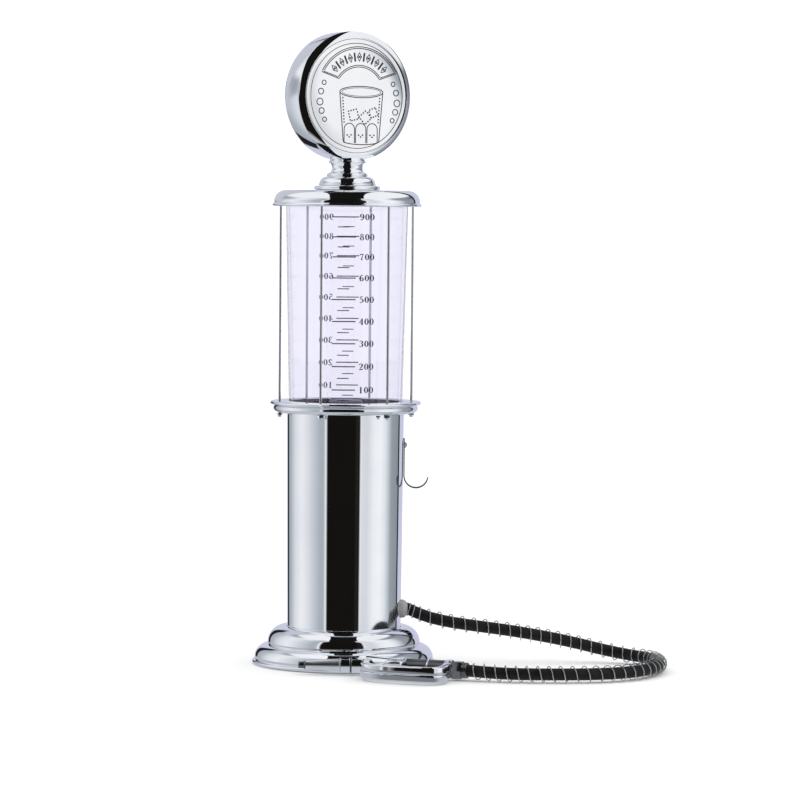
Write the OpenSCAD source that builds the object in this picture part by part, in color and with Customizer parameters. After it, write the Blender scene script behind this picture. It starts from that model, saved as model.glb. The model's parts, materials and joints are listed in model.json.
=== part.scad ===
// Table-top drinks dispenser in the shape of a vintage gas pump: stepped round base, plated column,
// clear graduated tank between six tie rods, domed cap with a lift-out globe plug, and a sprung hose
// with a small trigger nozzle lying in front of the base.
// Millimetres. Origin: middle of the pad's underside, on the column's axis. +Z up, front faces -Y.

/* [Base] */
// Radius of the thin lip at the very bottom
lip_r = 70.6; // [66:0.1:85]
// Height of the lip
lip_h = 2.7; // [2:0.1:4]
// Tube radius of the lower rounded step
lower_bead_r = 9.5; // [8.5:0.1:11]
// How far the lower step stands back from the lip
lower_bead_inset = 2.1; // [1.5:0.1:4]
// Height of the lower step's centre above the lip's underside
lower_bead_rise = 4.9; // [4:0.1:6]
// Tube radius of the upper rounded step
upper_bead_r = 12.3; // [10:0.1:13]
// Height of the upper step's centre above the lower step's centre
upper_bead_rise = 11.4; // [10.5:0.1:13]
// Gap ring between the column and the upper step's centre
upper_bead_gap = 2.6; // [2:0.1:4]
// Wall of the base shell
base_wall = 2.6; // [2:0.1:3]
// Radius of the anti-slip pad
pad_r = 52; // [40:1:53]
// How far the pad stands below the lip
pad_proud = 0.8; // [0.5:0.1:1.5]
// Thickness of the pad
pad_t = 1.7; // [1.6:0.1:2.5]
// Thickness of the closing plate
plate_t = 2.8; // [2.2:0.1:3]
// Number of screws that hold the closing plate
plate_screws = 4; // [3:1:6]

/* [Column] */
// Outer radius at the column's lower end
column_r_foot = 43.6; // [36:0.1:53]
// Outer radius at the column's upper end
column_r_head = 44.9; // [37:0.1:54]
// Length of the column, from its ledge in the base to the collar
column_h = 178.1; // [140:0.1:240]
// Wall of the column
column_wall = 1.5; // [1:0.1:2]

/* [Collar and rods] */
// Height of the collar's outer ring
collar_h = 9; // [8:0.1:12]
// Thickness of the collar's lip
collar_lip_t = 2.5; // [2:0.1:3]
// How far the collar's lip stands out past its rounded body
collar_lip_out = 2.4; // [1:0.1:4]
// Depth of the collar's spigot inside the column
spigot_h = 9.5; // [6:0.1:14]
// Number of tie rods
rod_count = 6; // [4:1:8]
// Radius of a tie rod
rod_r = 0.95; // [0.8:0.05:1.5]
// Gap from the tank's widest part to the rods' circle
rod_gap = 4.1; // [3:0.1:6]
// Angle of the first rod, from the front towards +X
rod_first = -21; // [-30:1:30]

/* [Tank] */
// Outer radius at the tank's shoulder
tank_r_foot = 43.6; // [36:0.1:53]
// Outer radius at the tank's rim
tank_r_head = 47; // [44:0.1:57]
// Height from the shoulder to the rim
tank_h = 157.3; // [130:0.1:195]
// Wall of the tank
tank_wall = 1.4; // [1:0.1:2]
// Thickness of the tank's floor
tank_floor_t = 3; // [2:0.1:4]
// Radius of the outlet's thread through the tank floor
outlet_r = 7.8; // [6:0.1:10]

/* [Cap and plug] */
// Height of the cap above its underside
cap_h = 12.3; // [11.5:0.1:16]
// Radius of the cap's rounded shoulder
cap_shoulder_r = 8.8; // [7:0.1:10]
// Radius of the filler opening
filler_r = 22.3; // [18:0.1:27]
// How far the plug's flange covers the cap around the filler opening
flange_cover = 3.1; // [2:0.1:5]
// Height of the plug's flange
flange_h = 3.3; // [2.5:0.1:5]
// Length of the plug inside the filler
plug_h = 12; // [8:0.1:14]

/* [Neck and globe] */
// Radius of the neck's foot
neck_foot_r = 22; // [18:0.1:25]
// Narrowest radius of the neck
neck_waist_r = 11.9; // [9:0.1:14]
// Height of the neck up to the globe's lowest line
neck_h = 19.1; // [18:0.1:26]
// Radius of the globe
globe_r = 49.2; // [40:0.1:60]
// Depth of the globe from front to back
globe_depth = 27.4; // [23:0.1:34]
// Direction that the globe faces, from the front towards +X
globe_turn = 30; // [0:1:90]
// Thickness of a globe face
face_t = 1.3; // [1:0.1:2]

/* [Hook] */
// Thickness of the hook's strip
hook_t = 1; // [0.8:0.1:1.5]
// Width of the hook's strip
hook_w = 8; // [6:0.1:12]
// Radius of the hook's bend, at the middle of the strip
hook_bend_r = 9.2; // [7:0.1:12]
// Height of the bend's centre
hook_z = 145.4; // [120:0.1:160]
// Length of the strip above the bend's centre
hook_l = 28.9; // [24:0.1:40]

/* [Nozzle] */
// Radius of the nozzle's front housing
housing_r = 7.6; // [7:0.1:9]
// Length of the handle, from the bend to the hose end of the ferrule
handle_l = 81.5; // [78:0.1:95]
// Direction of the handle, from +X towards the front
nozzle_turn = 20; // [10:1:30]
// Angle between the spout and the handle
spout_bend = 20; // [10:1:30]
// Length of the spout from the bend to its tip
spout_l = 50.4; // [46:0.1:65]
// Radius of the spout's collars
spout_collar_r = 5.8; // [5.4:0.1:6.2]
// Radius of the grip tube
grip_r = 6.9; // [6:0.1:7.2]
// Width of the guard's bar
guard_bar = 6; // [4.5:0.1:7]
// Thickness of the guard and of the shells along it
guard_t = 12; // [10:0.1:14]

/* [Hose] */
// Outer radius of the rubber hose
hose_r = 4.5; // [4:0.1:5]
// Outer radius of the wire guard wound round the hose
guard_r = 6.4; // [5.8:0.1:6.5]

/* [Hidden] */
$fn = 96;

// Clearances: parts that only pass each other, parts that are pushed together, and running fits.
slip = 0.25;
seat = 0.05;
run = 0.05;
eps = 0.01;

// Base, from the floor up.
lip_z = pad_proud;
lip_round = lip_h / 2;
lower_z = lip_z + lower_bead_rise;
lower_ring_r = lip_r - lower_bead_inset - lower_bead_r;
lower_top = lower_z + lower_bead_r;
upper_z = lower_z + upper_bead_rise;
upper_ring_r = column_r_foot + upper_bead_gap;
base_top = upper_z + upper_bead_r;
waist_z = lip_z + lip_h + 0.4;
plate_z = lip_z + 0.1;
plate_r = lower_ring_r + 7;
plate_screw_circle = lower_ring_r + 1.2;
plate_screw_r = 1.4;
plate_screw_head_r = 2.8;
plate_screw_l = 7;
boss_r = 3.2;

// Column.
ledge_t = 2.8;
ledge_z = lower_top + 0.2;
column_top = ledge_z + column_h;
foot_ring_h = 11;
foot_ring_w = 8;
foot_ring_r = column_r_foot - column_wall - seat;
column_screw_circle = foot_ring_r - foot_ring_w / 2;
column_screw_r = 1.5;
column_screw_head_r = 3;
column_screw_l = 8;
column_screws = 3;

function column_r(z) =
    column_r_foot + (column_r_head - column_r_foot) * (z - ledge_z) / column_h;

// Collar, tank and rods.
collar_top = column_top + collar_h;
spigot_r = min(column_r_head, column_r(column_top - spigot_h)) - column_wall - seat;
spigot_wall = 2.5;
sump_r = min(spigot_r, tank_r_foot) - spigot_wall - slip;
gasket_t = 1;
seat_web = 1.2;
shoulder_z = column_top + seat_web + gasket_t;
tank_top = shoulder_z + tank_h;
tank_bore = max(tank_r_foot, tank_r(collar_top)) + 0.43;
tank_floor_top = shoulder_z + 0.5;
tank_base_z = tank_floor_top - tank_floor_t;
web_t = 2.5;
rod_circle = tank_r_head + rod_gap;
collar_body_r = rod_circle + 4.5;
collar_lip_r = collar_body_r + collar_lip_out;
collar_round = 3.2;
rod_nut_r = 2.4;
rod_nut_h = 1.9;
rod_dome_r = 1.6;

function tank_r(z) =
    tank_r_foot + (tank_r_head - tank_r_foot) * (z - shoulder_z) / tank_h;

// Outlet under the tank.
outlet_flange_r = outlet_r + 5.2;
outlet_flange_t = 2.2;
outlet_seal_t = 0.8;
outlet_nut_r = outlet_r + 6;
outlet_nut_h = 5;
tube_r = 4.5;
tube_bore = 3;
barb_r = tube_bore - run;
flow_r = 2;
outlet_shank_h = 11;
barb_l = 12;
outlet_tail_z = tank_base_z - web_t - outlet_shank_h;

// Hose outlet on the column, and the route of the hose: round numbers, from the column's grommet
// down to the floor, round the loop and back to the nozzle.
hose_route = [
    [49, 0, 42.6], [53, 0, 40.9], [58, 0, 38.8], [67, 0, 35.8], [80, 1, 32.8], [95, 2, 30.4],
    [112, 4, 28], [130, 6, 25.4], [148, 9, 22.2], [166, 12, 18.6], [182, 14, 15], [197, 14.5, 11.4],
    [211, 13, 8.6], [223, 8.5, 6.9], [232, 0, 6.5], [238, -13, 6.5], [240.5, -30, 6.5],
    [239.5, -48, 6.5], [235, -66, 6.5], [227, -82, 6.5], [215, -96, 6.5], [200, -106, 6.5],
    [182, -112, 6.5], [162, -114.5, 6.5], [142, -115, 6.5], [124, -113.5, 6.6], [108, -110, 7.1],
    [94, -105, 7.6]
];
hose_exit = hose_route[0];
hose_sides = 10;
guard_sides = 10;
guard_inner_r = hose_r + 0.1;
outlet_z = hose_exit.z;
grommet_r = 7.1;
elbow_thread_r = 4.8;
elbow_tip = column_r(outlet_z) + 2.4;
elbow_up = 19;
locknut_r = 9;
locknut_t = 3.2;
locknut_face = column_r(outlet_z) - column_wall - 1.4;

// Cap and plug.
cap_z = tank_top - 1.3;
cap_top = cap_z + cap_h;
cap_r = collar_body_r + 0.4;
cap_rim_r = cap_r + 1.4;
cap_rim_round = 1.15;
cap_wall = 2.5;
cap_gasket_t = 1.2;
groove_out = tank_r_head + 0.6;
groove_in = tank_r_head - tank_wall - 0.4;
skirt_in = groove_in - 1.9;
rod_end = cap_top - 4;
flange_z = cap_top + 0.2;
flange_r = filler_r + flange_cover;
flange_top = flange_z + flange_h;
plug_r = filler_r - 0.7;
plug_wall = 3;
seal_r = 1;
seal_ring = filler_r - seat - seal_r;
pivot_r = 2;

// Neck and globe.
neck_z = flange_top + 0.2;
globe_bottom = neck_z + neck_h;
globe_z = globe_bottom + globe_r;
neck_dome_r = 6;
neck_bead_r = 1.5;
neck_top_r = neck_waist_r + 2.3;
neck_scotia_r = 5.7;
drum_wall = 2;
bezel_h = 4.2;
bezel_w = 4.9;
drum_half = globe_depth / 2 - bezel_h;
face_r = globe_r - bezel_w + 1.1;
face_front = globe_depth / 2 - 1.5;
bezel_spigot = 3.5;
face_ring_r = 0.825 * globe_r;

// Hook.
hook_x = column_r(hook_z + hook_l) + seat;
hook_screw_z = hook_z + hook_l - 5.3;
hook_screw_r = 1.5;
hook_arc = 175;

// Nozzle, in its own frame: the handle runs along +X from the bend, the guard is on the -Y side.
// It lies on the floor in front of the base, its hose end at the last point of the hose's route.
handle_end = [94, -(lip_r + 34.4), housing_r];
bore_r = 5.2;
housing_x0 = 1;
housing_x1 = 33;
nut_x0 = handle_l - 11.5;
clasp_x1 = nut_x0 - slip;
clasp_x0 = clasp_x1 - 5;
nut_l = 7.4;
nut_r = 7.2;
ferrule_r = 5.9;
guard_path = concat(
    [[3, -4]],
    curve([7, -19], [11, -36], [26, -37.5]),
    curve([60, -39.5], [72, -40], [71.5, -29]),
    [[66.1, -4]]
);
cheek = [[20, -15], [34, -15], [34, 0], [20, 0]];
pin_at = [27.4, -11];
pin_r = 1.2;
slot_half = 2.3;
trigger_half = 2;
trigger_bar = 4;
trigger_hub_r = 2.8;
trigger_l = 31.6;
trigger_drop = 14.5;
trigger_path = [
    for (i = [0:9])
        let (t = i / 9)
        pin_at + [trigger_l * t, -trigger_drop * t * t * (3 - 2 * t)]
];
finger_top = -0.6;
finger_half = 1.1;
seat_x = 12;
seat_t = 2;
seat_hole = 2.2;
stem_r = 1.1;
stem_head_r = 3.4;
stem_head_l = 2.3;
stem_end = pin_at.x - finger_half - 0.3;
stop_x = 21;
stop_l = 1.5;
spring_r = 2.9;
spring_bore = 1.9;
screw_places = [[5.7, -14], [17, -35.2], [64, -38.6]];
shell_screw_r = 1;
collar_rear = [2.2, 10.4];
collar_front = [11.4, 18.8];
cone_end = spout_l - 5.8;
cone_tip_r = 3.1;
spout_pipe_r = 4.6;
tip_r = 2.1;

// Points of a quadratic curve from a to c that bends towards b.
function curve(a, b, c, n = 8) =
    [for (i = [0:n]) let (t = i / n) (1 - t) * (1 - t) * a + 2 * t * (1 - t) * b + t * t * c];

function unit(v) = v / norm(v);

// Direction of a path at point i.
function heading(p, i) = unit(p[min(i + 1, len(p) - 1)] - p[max(i - 1, 0)]);

// One side of a flat ribbon along a path, w away from its middle line.
function ribbon_side(p, w) =
    [for (i = [0:len(p) - 1]) let (h = heading(p, i)) p[i] + w * [-h.y, h.x]];

function backwards(p) = [for (i = [len(p) - 1:-1:0]) p[i]];

module ribbon(p, w) {
    polygon(concat(ribbon_side(p, w / 2), backwards(ribbon_side(p, -w / 2))));
}

// Ring of n points round a route's point, square to the direction h.
function ring(at, h, r, n) =
    let (side = unit(cross([0, 0, 1], h)), up = cross(h, side))
    [for (j = [0:n - 1]) at + r * (cos(360 * j / n) * side + sin(360 * j / n) * up)];

// Directions along the hose: square to the grommet at one end and in line with the handle at the other.
function hose_heading(i) =
    i == 0 ? [1, 0, 0]
    : i == len(hose_route) - 1 ? [-cos(nozzle_turn), sin(nozzle_turn), 0]
    : heading(hose_route, i);

function hose_rings(r, n) =
    [for (i = [0:len(hose_route) - 1]) each ring(hose_route[i], hose_heading(i), r, n)];

// Four-sided faces between the rings of one wall; first is that wall's first point.
function wall_faces(count, n, first, outward) =
    [for (i = [0:count - 2], j = [0:n - 1])
        let (a = first + i * n + j, b = first + i * n + (j + 1) % n)
        outward ? [a, a + n, b + n, b] : [a, b, b + n, a + n]];

module round_pattern(count, radius, start = 0) {
    for (i = [0:count - 1])
        rotate([0, 0, start + i * 360 / count])
            translate([radius, 0, 0])
                children();
}

module tie_rod_places() {
    round_pattern(rod_count, rod_circle, rod_first - 90)
        children();
}

module ring_solid(r0, r1, z0, z1) {
    rotate_extrude()
        translate([r0, z0])
            square([r1 - r0, z1 - z0]);
}

// Outline of the base, drawn in by a wall.
module base_outline(wall) {
    intersection() {
        translate([lower_ring_r, lower_z])
            circle(r = lower_bead_r - wall);
        translate([0, waist_z - 1])
            square([lip_r, base_top]);
    }
    translate([0, waist_z - 1])
        square([lower_ring_r, lower_top - wall - waist_z + 1]);
    intersection() {
        translate([upper_ring_r, upper_z])
            circle(r = upper_bead_r - wall);
        translate([0, lower_z])
            square([lip_r, base_top]);
    }
    translate([0, lower_z])
        square([upper_ring_r, base_top - wall - lower_z]);
}

module base_lip() {
    translate([lip_r - lip_round, lip_z + lip_round])
        circle(r = lip_round);
    translate([0, lip_z])
        square([lip_r - lip_round, lip_h]);
    translate([0, lip_z])
        square([lower_ring_r + lower_bead_r - 1, waist_z - lip_z + 0.5]);
}

module base_shell() {
    color("silver")
        difference() {
            union() {
                rotate_extrude()
                    difference() {
                        union() {
                            base_lip();
                            difference() {
                                base_outline(0);
                                translate([0, -1])
                                    square([lip_r, waist_z + 1]);
                            }
                        }
                        difference() {
                            base_outline(base_wall);
                            translate([0, ledge_z - ledge_t])
                                square([lip_r, ledge_t]);
                        }
                        translate([0, -1])
                            square([plate_r + slip, plate_z + plate_t + 1]);
                        square([column_screw_circle - 4.5, ledge_z + 1]);
                        translate([0, ledge_z])
                            square([column_r(base_top - 3) + slip, base_top]);
                    }
                round_pattern(plate_screws, plate_screw_circle, 45)
                    translate([0, 0, plate_z + plate_t])
                        cylinder(r = boss_r, h = lower_top - 2 - plate_z - plate_t);
            }
            round_pattern(plate_screws, plate_screw_circle, 45)
                translate([0, 0, plate_z])
                    cylinder(r = plate_screw_r + seat, h = plate_screw_l + 2);
            round_pattern(column_screws, column_screw_circle, 30)
                translate([0, 0, ledge_z - ledge_t - 1])
                    cylinder(r = column_screw_r + slip, h = ledge_t + 2);
        }
}

module base_plate() {
    color("#222222")
        difference() {
            translate([0, 0, plate_z])
                cylinder(r = plate_r, h = plate_t);
            translate([0, 0, -1])
                cylinder(r = pad_r + slip, h = pad_t + 1);
            round_pattern(plate_screws, plate_screw_circle, 45) {
                translate([0, 0, -1])
                    cylinder(r = plate_screw_r + slip, h = 10);
                translate([0, 0, -1])
                    cylinder(r = plate_screw_head_r + slip, h = plate_z + 1 + 1.6);
            }
        }
}

module base_pad() {
    color("#181818")
        cylinder(r = pad_r, h = pad_t);
}

module base_screws() {
    color("gray")
        round_pattern(plate_screws, plate_screw_circle, 45) {
            translate([0, 0, plate_z + 0.1])
                cylinder(r = plate_screw_head_r, h = 1.5);
            translate([0, 0, plate_z + 1])
                cylinder(r = plate_screw_r, h = plate_screw_l);
        }
}

module column_foot_ring() {
    color("#333333")
        difference() {
            ring_solid(foot_ring_r - foot_ring_w, foot_ring_r, ledge_z, ledge_z + foot_ring_h);
            round_pattern(column_screws, column_screw_circle, 30)
                translate([0, 0, ledge_z - 1])
                    cylinder(r = column_screw_r + seat, h = column_screw_l + 2);
        }
}

module column_screws() {
    color("gray")
        round_pattern(column_screws, column_screw_circle, 30) {
            translate([0, 0, ledge_z - ledge_t - 2])
                cylinder(r = column_screw_head_r, h = 2);
            translate([0, 0, ledge_z - ledge_t - 1])
                cylinder(r = column_screw_r, h = column_screw_l + ledge_t + 1);
        }
}

module column_cone(grow) {
    translate([0, 0, ledge_z])
        cylinder(r1 = column_r_foot + grow, r2 = column_r_head + grow, h = column_h);
}

module column_shell() {
    color("gainsboro")
        difference() {
            column_cone(0);
            rotate_extrude()
                polygon([
                    [0, ledge_z - 1],
                    [column_r_foot - column_wall, ledge_z - 1],
                    [column_r_foot - column_wall, ledge_z],
                    [column_r_head - column_wall, column_top],
                    [column_r_head - column_wall, column_top + 1],
                    [0, column_top + 1]
                ]);
            translate([0, 0, outlet_z])
                rotate([0, 90, 0])
                    cylinder(r = elbow_thread_r + slip, h = column_r_head + 10);
            translate([0, 0, hook_screw_z])
                rotate([0, 90, 0])
                    cylinder(r = hook_screw_r + slip, h = column_r_head + 10);
        }
}

module collar_ring() {
    color("silver")
        difference() {
            rotate_extrude()
                difference() {
                    union() {
                        translate([collar_body_r - collar_round, column_top + 3.8])
                            circle(r = collar_round);
                        translate([0, column_top])
                            square([collar_body_r - collar_round, collar_h]);
                        translate([0, collar_top - collar_lip_t])
                            square([collar_lip_r - collar_lip_t / 2, collar_lip_t]);
                        translate([collar_lip_r - collar_lip_t / 2, collar_top - collar_lip_t / 2])
                            circle(r = collar_lip_t / 2);
                        translate([0, column_top - spigot_h])
                            square([spigot_r, spigot_h + 1]);
                    }
                    translate([0, column_top + seat_web])
                        square([tank_bore, collar_h + 1]);
                    translate([0, tank_base_z])
                        square([sump_r + slip, collar_h]);
                    translate([0, column_top - spigot_h - 1])
                        square([sump_r + slip, spigot_h + 1 - (column_top - tank_base_z) - web_t]);
                    square([outlet_r + slip, collar_top]);
                }
            tie_rod_places()
                translate([0, 0, column_top - 1])
                    cylinder(r = rod_r + 0.15, h = collar_h + 2);
        }
}

module lower_gasket() {
    color("white")
        ring_solid(sump_r + slip + 0.2, tank_bore - 0.3, column_top + seat_web, shoulder_z);
}

module tank() {
    color([0.88, 0.88, 0.95, 0.4])
        rotate_extrude()
            difference() {
                union() {
                    polygon([
                        [0, shoulder_z],
                        [tank_r_foot, shoulder_z],
                        [tank_r_head, tank_top],
                        [0, tank_top]
                    ]);
                    translate([0, tank_base_z])
                        square([sump_r, tank_floor_t]);
                }
                polygon([
                    [0, tank_floor_top],
                    [tank_r(tank_floor_top) - tank_wall, tank_floor_top],
                    [tank_r_head - tank_wall, tank_top],
                    [tank_r_head - tank_wall, tank_top + 1],
                    [0, tank_top + 1]
                ]);
                translate([0, tank_base_z - 1])
                    square([outlet_r + slip, tank_floor_t + 2]);
            }
}

module tank_outlet() {
    flange_base = tank_floor_top + outlet_seal_t;
    color("whitesmoke")
        difference() {
            union() {
                translate([0, 0, flange_base])
                    cylinder(r = outlet_flange_r, h = outlet_flange_t);
                translate([0, 0, outlet_tail_z])
                    cylinder(r = outlet_r, h = flange_base - outlet_tail_z + 1);
                translate([0, 0, outlet_tail_z - barb_l])
                    cylinder(r = barb_r, h = barb_l + 1);
            }
            translate([0, 0, outlet_tail_z - barb_l - 1])
                cylinder(r = flow_r, h = 100);
        }
}

module outlet_seal() {
    color("#222222")
        ring_solid(
            outlet_r + slip, outlet_flange_r - 0.5, tank_floor_top, tank_floor_top + outlet_seal_t
        );
}

module outlet_nut() {
    nut_top = tank_base_z - web_t;
    color("whitesmoke")
        difference() {
            translate([0, 0, nut_top - outlet_nut_h])
                cylinder(r = outlet_nut_r, h = outlet_nut_h, $fn = 6);
            translate([0, 0, nut_top - outlet_nut_h - 1])
                cylinder(r = outlet_r + seat, h = outlet_nut_h + 2);
        }
}

module feed_tube() {
    color("#202020")
        ring_solid(tube_bore, tube_r, outlet_z + elbow_up - barb_l, outlet_tail_z);
}

module outlet_elbow() {
    color("whitesmoke")
        difference() {
            union() {
                translate([0, 0, outlet_z])
                    sphere(r = 5);
                translate([0, 0, outlet_z])
                    cylinder(r = 5, h = elbow_up - barb_l);
                translate([0, 0, outlet_z])
                    cylinder(r = barb_r, h = elbow_up);
                translate([0, 0, outlet_z])
                    rotate([0, 90, 0])
                        cylinder(r = elbow_thread_r, h = elbow_tip);
            }
            translate([0, 0, outlet_z])
                cylinder(r = flow_r, h = elbow_up + 1);
            translate([0, 0, outlet_z])
                rotate([0, 90, 0])
                    cylinder(r = flow_r, h = elbow_tip + 1);
        }
}

module elbow_locknut() {
    color("whitesmoke")
        translate([locknut_face - locknut_t, 0, outlet_z])
            rotate([0, 90, 0])
                difference() {
                    cylinder(r = locknut_r, h = locknut_t, $fn = 6);
                    translate([0, 0, -1])
                        cylinder(r = elbow_thread_r + seat, h = locknut_t + 2);
                }
}

// Domed nut that clamps the elbow from outside; its back follows the column's curve.
module hose_grommet() {
    color("darkgray")
        difference() {
            translate([0, 0, outlet_z])
                rotate([0, 90, 0])
                    rotate_extrude()
                        difference() {
                            union() {
                                translate([0, column_r_foot - 6])
                                    square([grommet_r, hose_exit.x - column_r_foot + 3]);
                                intersection() {
                                    translate([grommet_r - 3, hose_exit.x - 3])
                                        circle(r = 3);
                                    translate([0, hose_exit.x - 3])
                                        square([grommet_r, 3]);
                                }
                                translate([0, hose_exit.x - 4])
                                    square([grommet_r - 3, 4]);
                            }
                            translate([0, 0])
                                square([elbow_thread_r + seat, elbow_tip + 0.1]);
                            square([flow_r, hose_exit.x + 1]);
                        }
            column_cone(seat);
        }
}

module hook_strip() {
    bend_x = hook_x + hook_t / 2 + hook_bend_r;
    color("silver")
        difference() {
            union() {
                translate([hook_x, -hook_w / 2, hook_z])
                    cube([hook_t, hook_w, hook_l]);
                translate([bend_x, hook_w / 2, hook_z])
                    rotate([90, 0, 0])
                        rotate([0, 0, 180])
                            rotate_arc(hook_arc, hook_bend_r, hook_t, hook_w);
            }
            translate([0, 0, hook_screw_z])
                rotate([0, 90, 0])
                    cylinder(r = hook_screw_r + 0.1, h = column_r_head + 20);
        }
}

// Flat strip bent through an angle, t thick and w wide, about the local Z axis.
module rotate_arc(angle, radius, t, w) {
    rotate_extrude(angle = angle)
        translate([radius - t / 2, 0])
            square([t, w]);
}

module hook_screw() {
    color("silver")
        translate([0, 0, hook_screw_z])
            rotate([0, 90, 0]) {
                translate([0, 0, hook_x + hook_t])
                    cylinder(r = 2.3, h = 1.9);
                translate([0, 0, hook_x - 8])
                    cylinder(r = hook_screw_r, h = 8 + hook_t + 1);
            }
}

module hook_nut() {
    inner = column_r(hook_screw_z) - column_wall - 0.4;
    color("gray")
        translate([inner - 2.4, 0, hook_screw_z])
            rotate([0, 90, 0])
                difference() {
                    cylinder(r = 3.2, h = 2.4, $fn = 6);
                    translate([0, 0, -1])
                        cylinder(r = hook_screw_r + seat, h = 5);
                }
}

module tie_rods() {
    color("silver")
        tie_rod_places()
            translate([0, 0, column_top - rod_nut_h])
                cylinder(r = rod_r, h = rod_end - column_top + rod_nut_h);
}

module rod_nuts() {
    color("silver")
        difference() {
            tie_rod_places() {
                translate([0, 0, column_top - rod_nut_h])
                    cylinder(r = rod_nut_r, h = rod_nut_h, $fn = 6);
                translate([0, 0, column_top - rod_nut_h - 0.2])
                    sphere(r = rod_dome_r);
            }
            tie_rod_places()
                translate([0, 0, column_top - rod_nut_h])
                    cylinder(r = rod_r + seat, h = rod_nut_h + 5);
        }
}

module cap_dome() {
    shoulder_ring = cap_r - cap_shoulder_r;
    color("silver")
        difference() {
            rotate_extrude()
                difference() {
                    union() {
                        intersection() {
                            translate([shoulder_ring, cap_top - cap_shoulder_r])
                                circle(r = cap_shoulder_r);
                            translate([0, cap_z])
                                square([cap_rim_r, cap_h]);
                        }
                        translate([0, cap_z])
                            square([shoulder_ring, cap_h]);
                        translate([0, cap_z])
                            square([cap_r, cap_h - cap_shoulder_r]);
                        translate([0, cap_z])
                            square([cap_rim_r - cap_rim_round, 2 * cap_rim_round]);
                        translate([cap_rim_r - cap_rim_round, cap_z + cap_rim_round])
                            circle(r = cap_rim_round);
                    }
                    translate([groove_in, cap_z - 1])
                        square([groove_out - groove_in, tank_top + cap_gasket_t - cap_z + 1]);
                    translate([0, cap_z - 1])
                        square([skirt_in, cap_h - cap_wall + 1]);
                    translate([0, cap_z])
                        square([filler_r, cap_h + 1]);
                }
            tie_rod_places()
                translate([0, 0, cap_z - 1])
                    cylinder(r = rod_r + seat, h = rod_end - cap_z + 1.2);
        }
}

module cap_gasket() {
    color("white")
        ring_solid(groove_in + 0.2, groove_out - 0.2, tank_top, tank_top + cap_gasket_t);
}

module hose() {
    rings = len(hose_route);
    color("#151515")
        polyhedron(
            points = hose_rings(hose_r, hose_sides),
            faces = concat(
                [[for (j = [0:hose_sides - 1]) j]],
                wall_faces(rings, hose_sides, 0, true),
                [[for (j = [hose_sides - 1:-1:0]) (rings - 1) * hose_sides + j]]
            )
        );
}

// The wire guard as a plain sleeve of its outer size, open for the hose.
module hose_guard() {
    rings = len(hose_route);
    n = guard_sides;
    inner = rings * n;
    last = (rings - 1) * n;
    color("lightgray")
        polyhedron(
            points = concat(hose_rings(guard_r, n), hose_rings(guard_inner_r / cos(180 / n), n)),
            faces = concat(
                wall_faces(rings, n, 0, true),
                wall_faces(rings, n, inner, false),
                [for (j = [0:n - 1]) [j, (j + 1) % n, inner + (j + 1) % n, inner + j]],
                [for (j = [0:n - 1])
                    [last + j, inner + last + j, inner + last + (j + 1) % n, last + (j + 1) % n]]
            )
        );
}

module plug_body() {
    color("silver")
        rotate_extrude()
            difference() {
                union() {
                    translate([0, flange_z])
                        square([flange_r - flange_h / 2, flange_h]);
                    translate([flange_r - flange_h / 2, flange_z + flange_h / 2])
                        circle(r = flange_h / 2);
                    translate([0, flange_z - plug_h])
                        square([plug_r, plug_h + 1]);
                }
                translate([0, flange_z - plug_h - 1])
                    square([plug_r - plug_wall, plug_h + 1]);
                square([pivot_r + run, flange_top + 1]);
                translate([seal_ring - seal_r - seat, flange_z - plug_h / 2 - seal_r - seat])
                    square([filler_r, 2 * (seal_r + seat)]);
            }
}

module plug_seal() {
    color("#202020")
        rotate_extrude()
            translate([seal_ring, flange_z - plug_h / 2])
                circle(r = seal_r);
}

module neck_outline() {
    dome_ring = neck_foot_r - neck_dome_r - 0.4;
    bead_z = neck_z + 8;
    translate([0, neck_z])
        square([neck_foot_r - 0.8, 1.6]);
    translate([neck_foot_r - 0.8, neck_z + 0.8])
        circle(r = 0.8);
    intersection() {
        translate([dome_ring, neck_z + 0.9])
            circle(r = neck_dome_r);
        translate([0, neck_z])
            square([neck_foot_r, neck_h]);
    }
    translate([0, neck_z])
        square([dome_ring, neck_dome_r + 0.9]);
    translate([neck_top_r, bead_z])
        circle(r = neck_bead_r);
    translate([0, neck_z])
        square([neck_top_r, neck_h + 1.2]);
}

module neck_pedestal() {
    color("silver")
        difference() {
            rotate_extrude()
                difference() {
                    neck_outline();
                    translate([neck_waist_r + neck_scotia_r, neck_z + 13.6])
                        circle(r = neck_scotia_r);
                }
            translate([0, 0, neck_z - 1])
                cylinder(r = pivot_r + seat, h = 10);
            translate([0, 0, globe_bottom - 8.5])
                cylinder(r = 1.5 + seat, h = 20);
            globe_frame()
                cylinder(r = globe_r + seat, h = 2 * globe_depth, center = true);
        }
}

module neck_screw() {
    color("gray") {
        translate([0, 0, flange_z - 2.4])
            cylinder(r = 3.6, h = 2.2);
        translate([0, 0, flange_z - 1])
            cylinder(r = pivot_r, h = flange_h + 1 + 8);
    }
}

// Frame of the globe: +Z out of its front face, +Y up.
module globe_frame() {
    translate([0, 0, globe_z])
        rotate([0, 0, globe_turn])
            rotate([90, 0, 0])
                children();
}

module globe_screw() {
    color("gray") {
        translate([0, 0, globe_bottom + drum_wall + 0.2])
            cylinder(r = 3, h = 2);
        translate([0, 0, globe_bottom - 8])
            cylinder(r = 1.5, h = 8 + drum_wall + 1);
    }
}

module globe_drum() {
    color("silver")
        difference() {
            globe_frame()
                ring_solid(globe_r - drum_wall, globe_r, -drum_half, drum_half);
            translate([0, 0, globe_bottom - 5])
                cylinder(r = 1.5 + seat, h = 10);
        }
}

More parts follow.
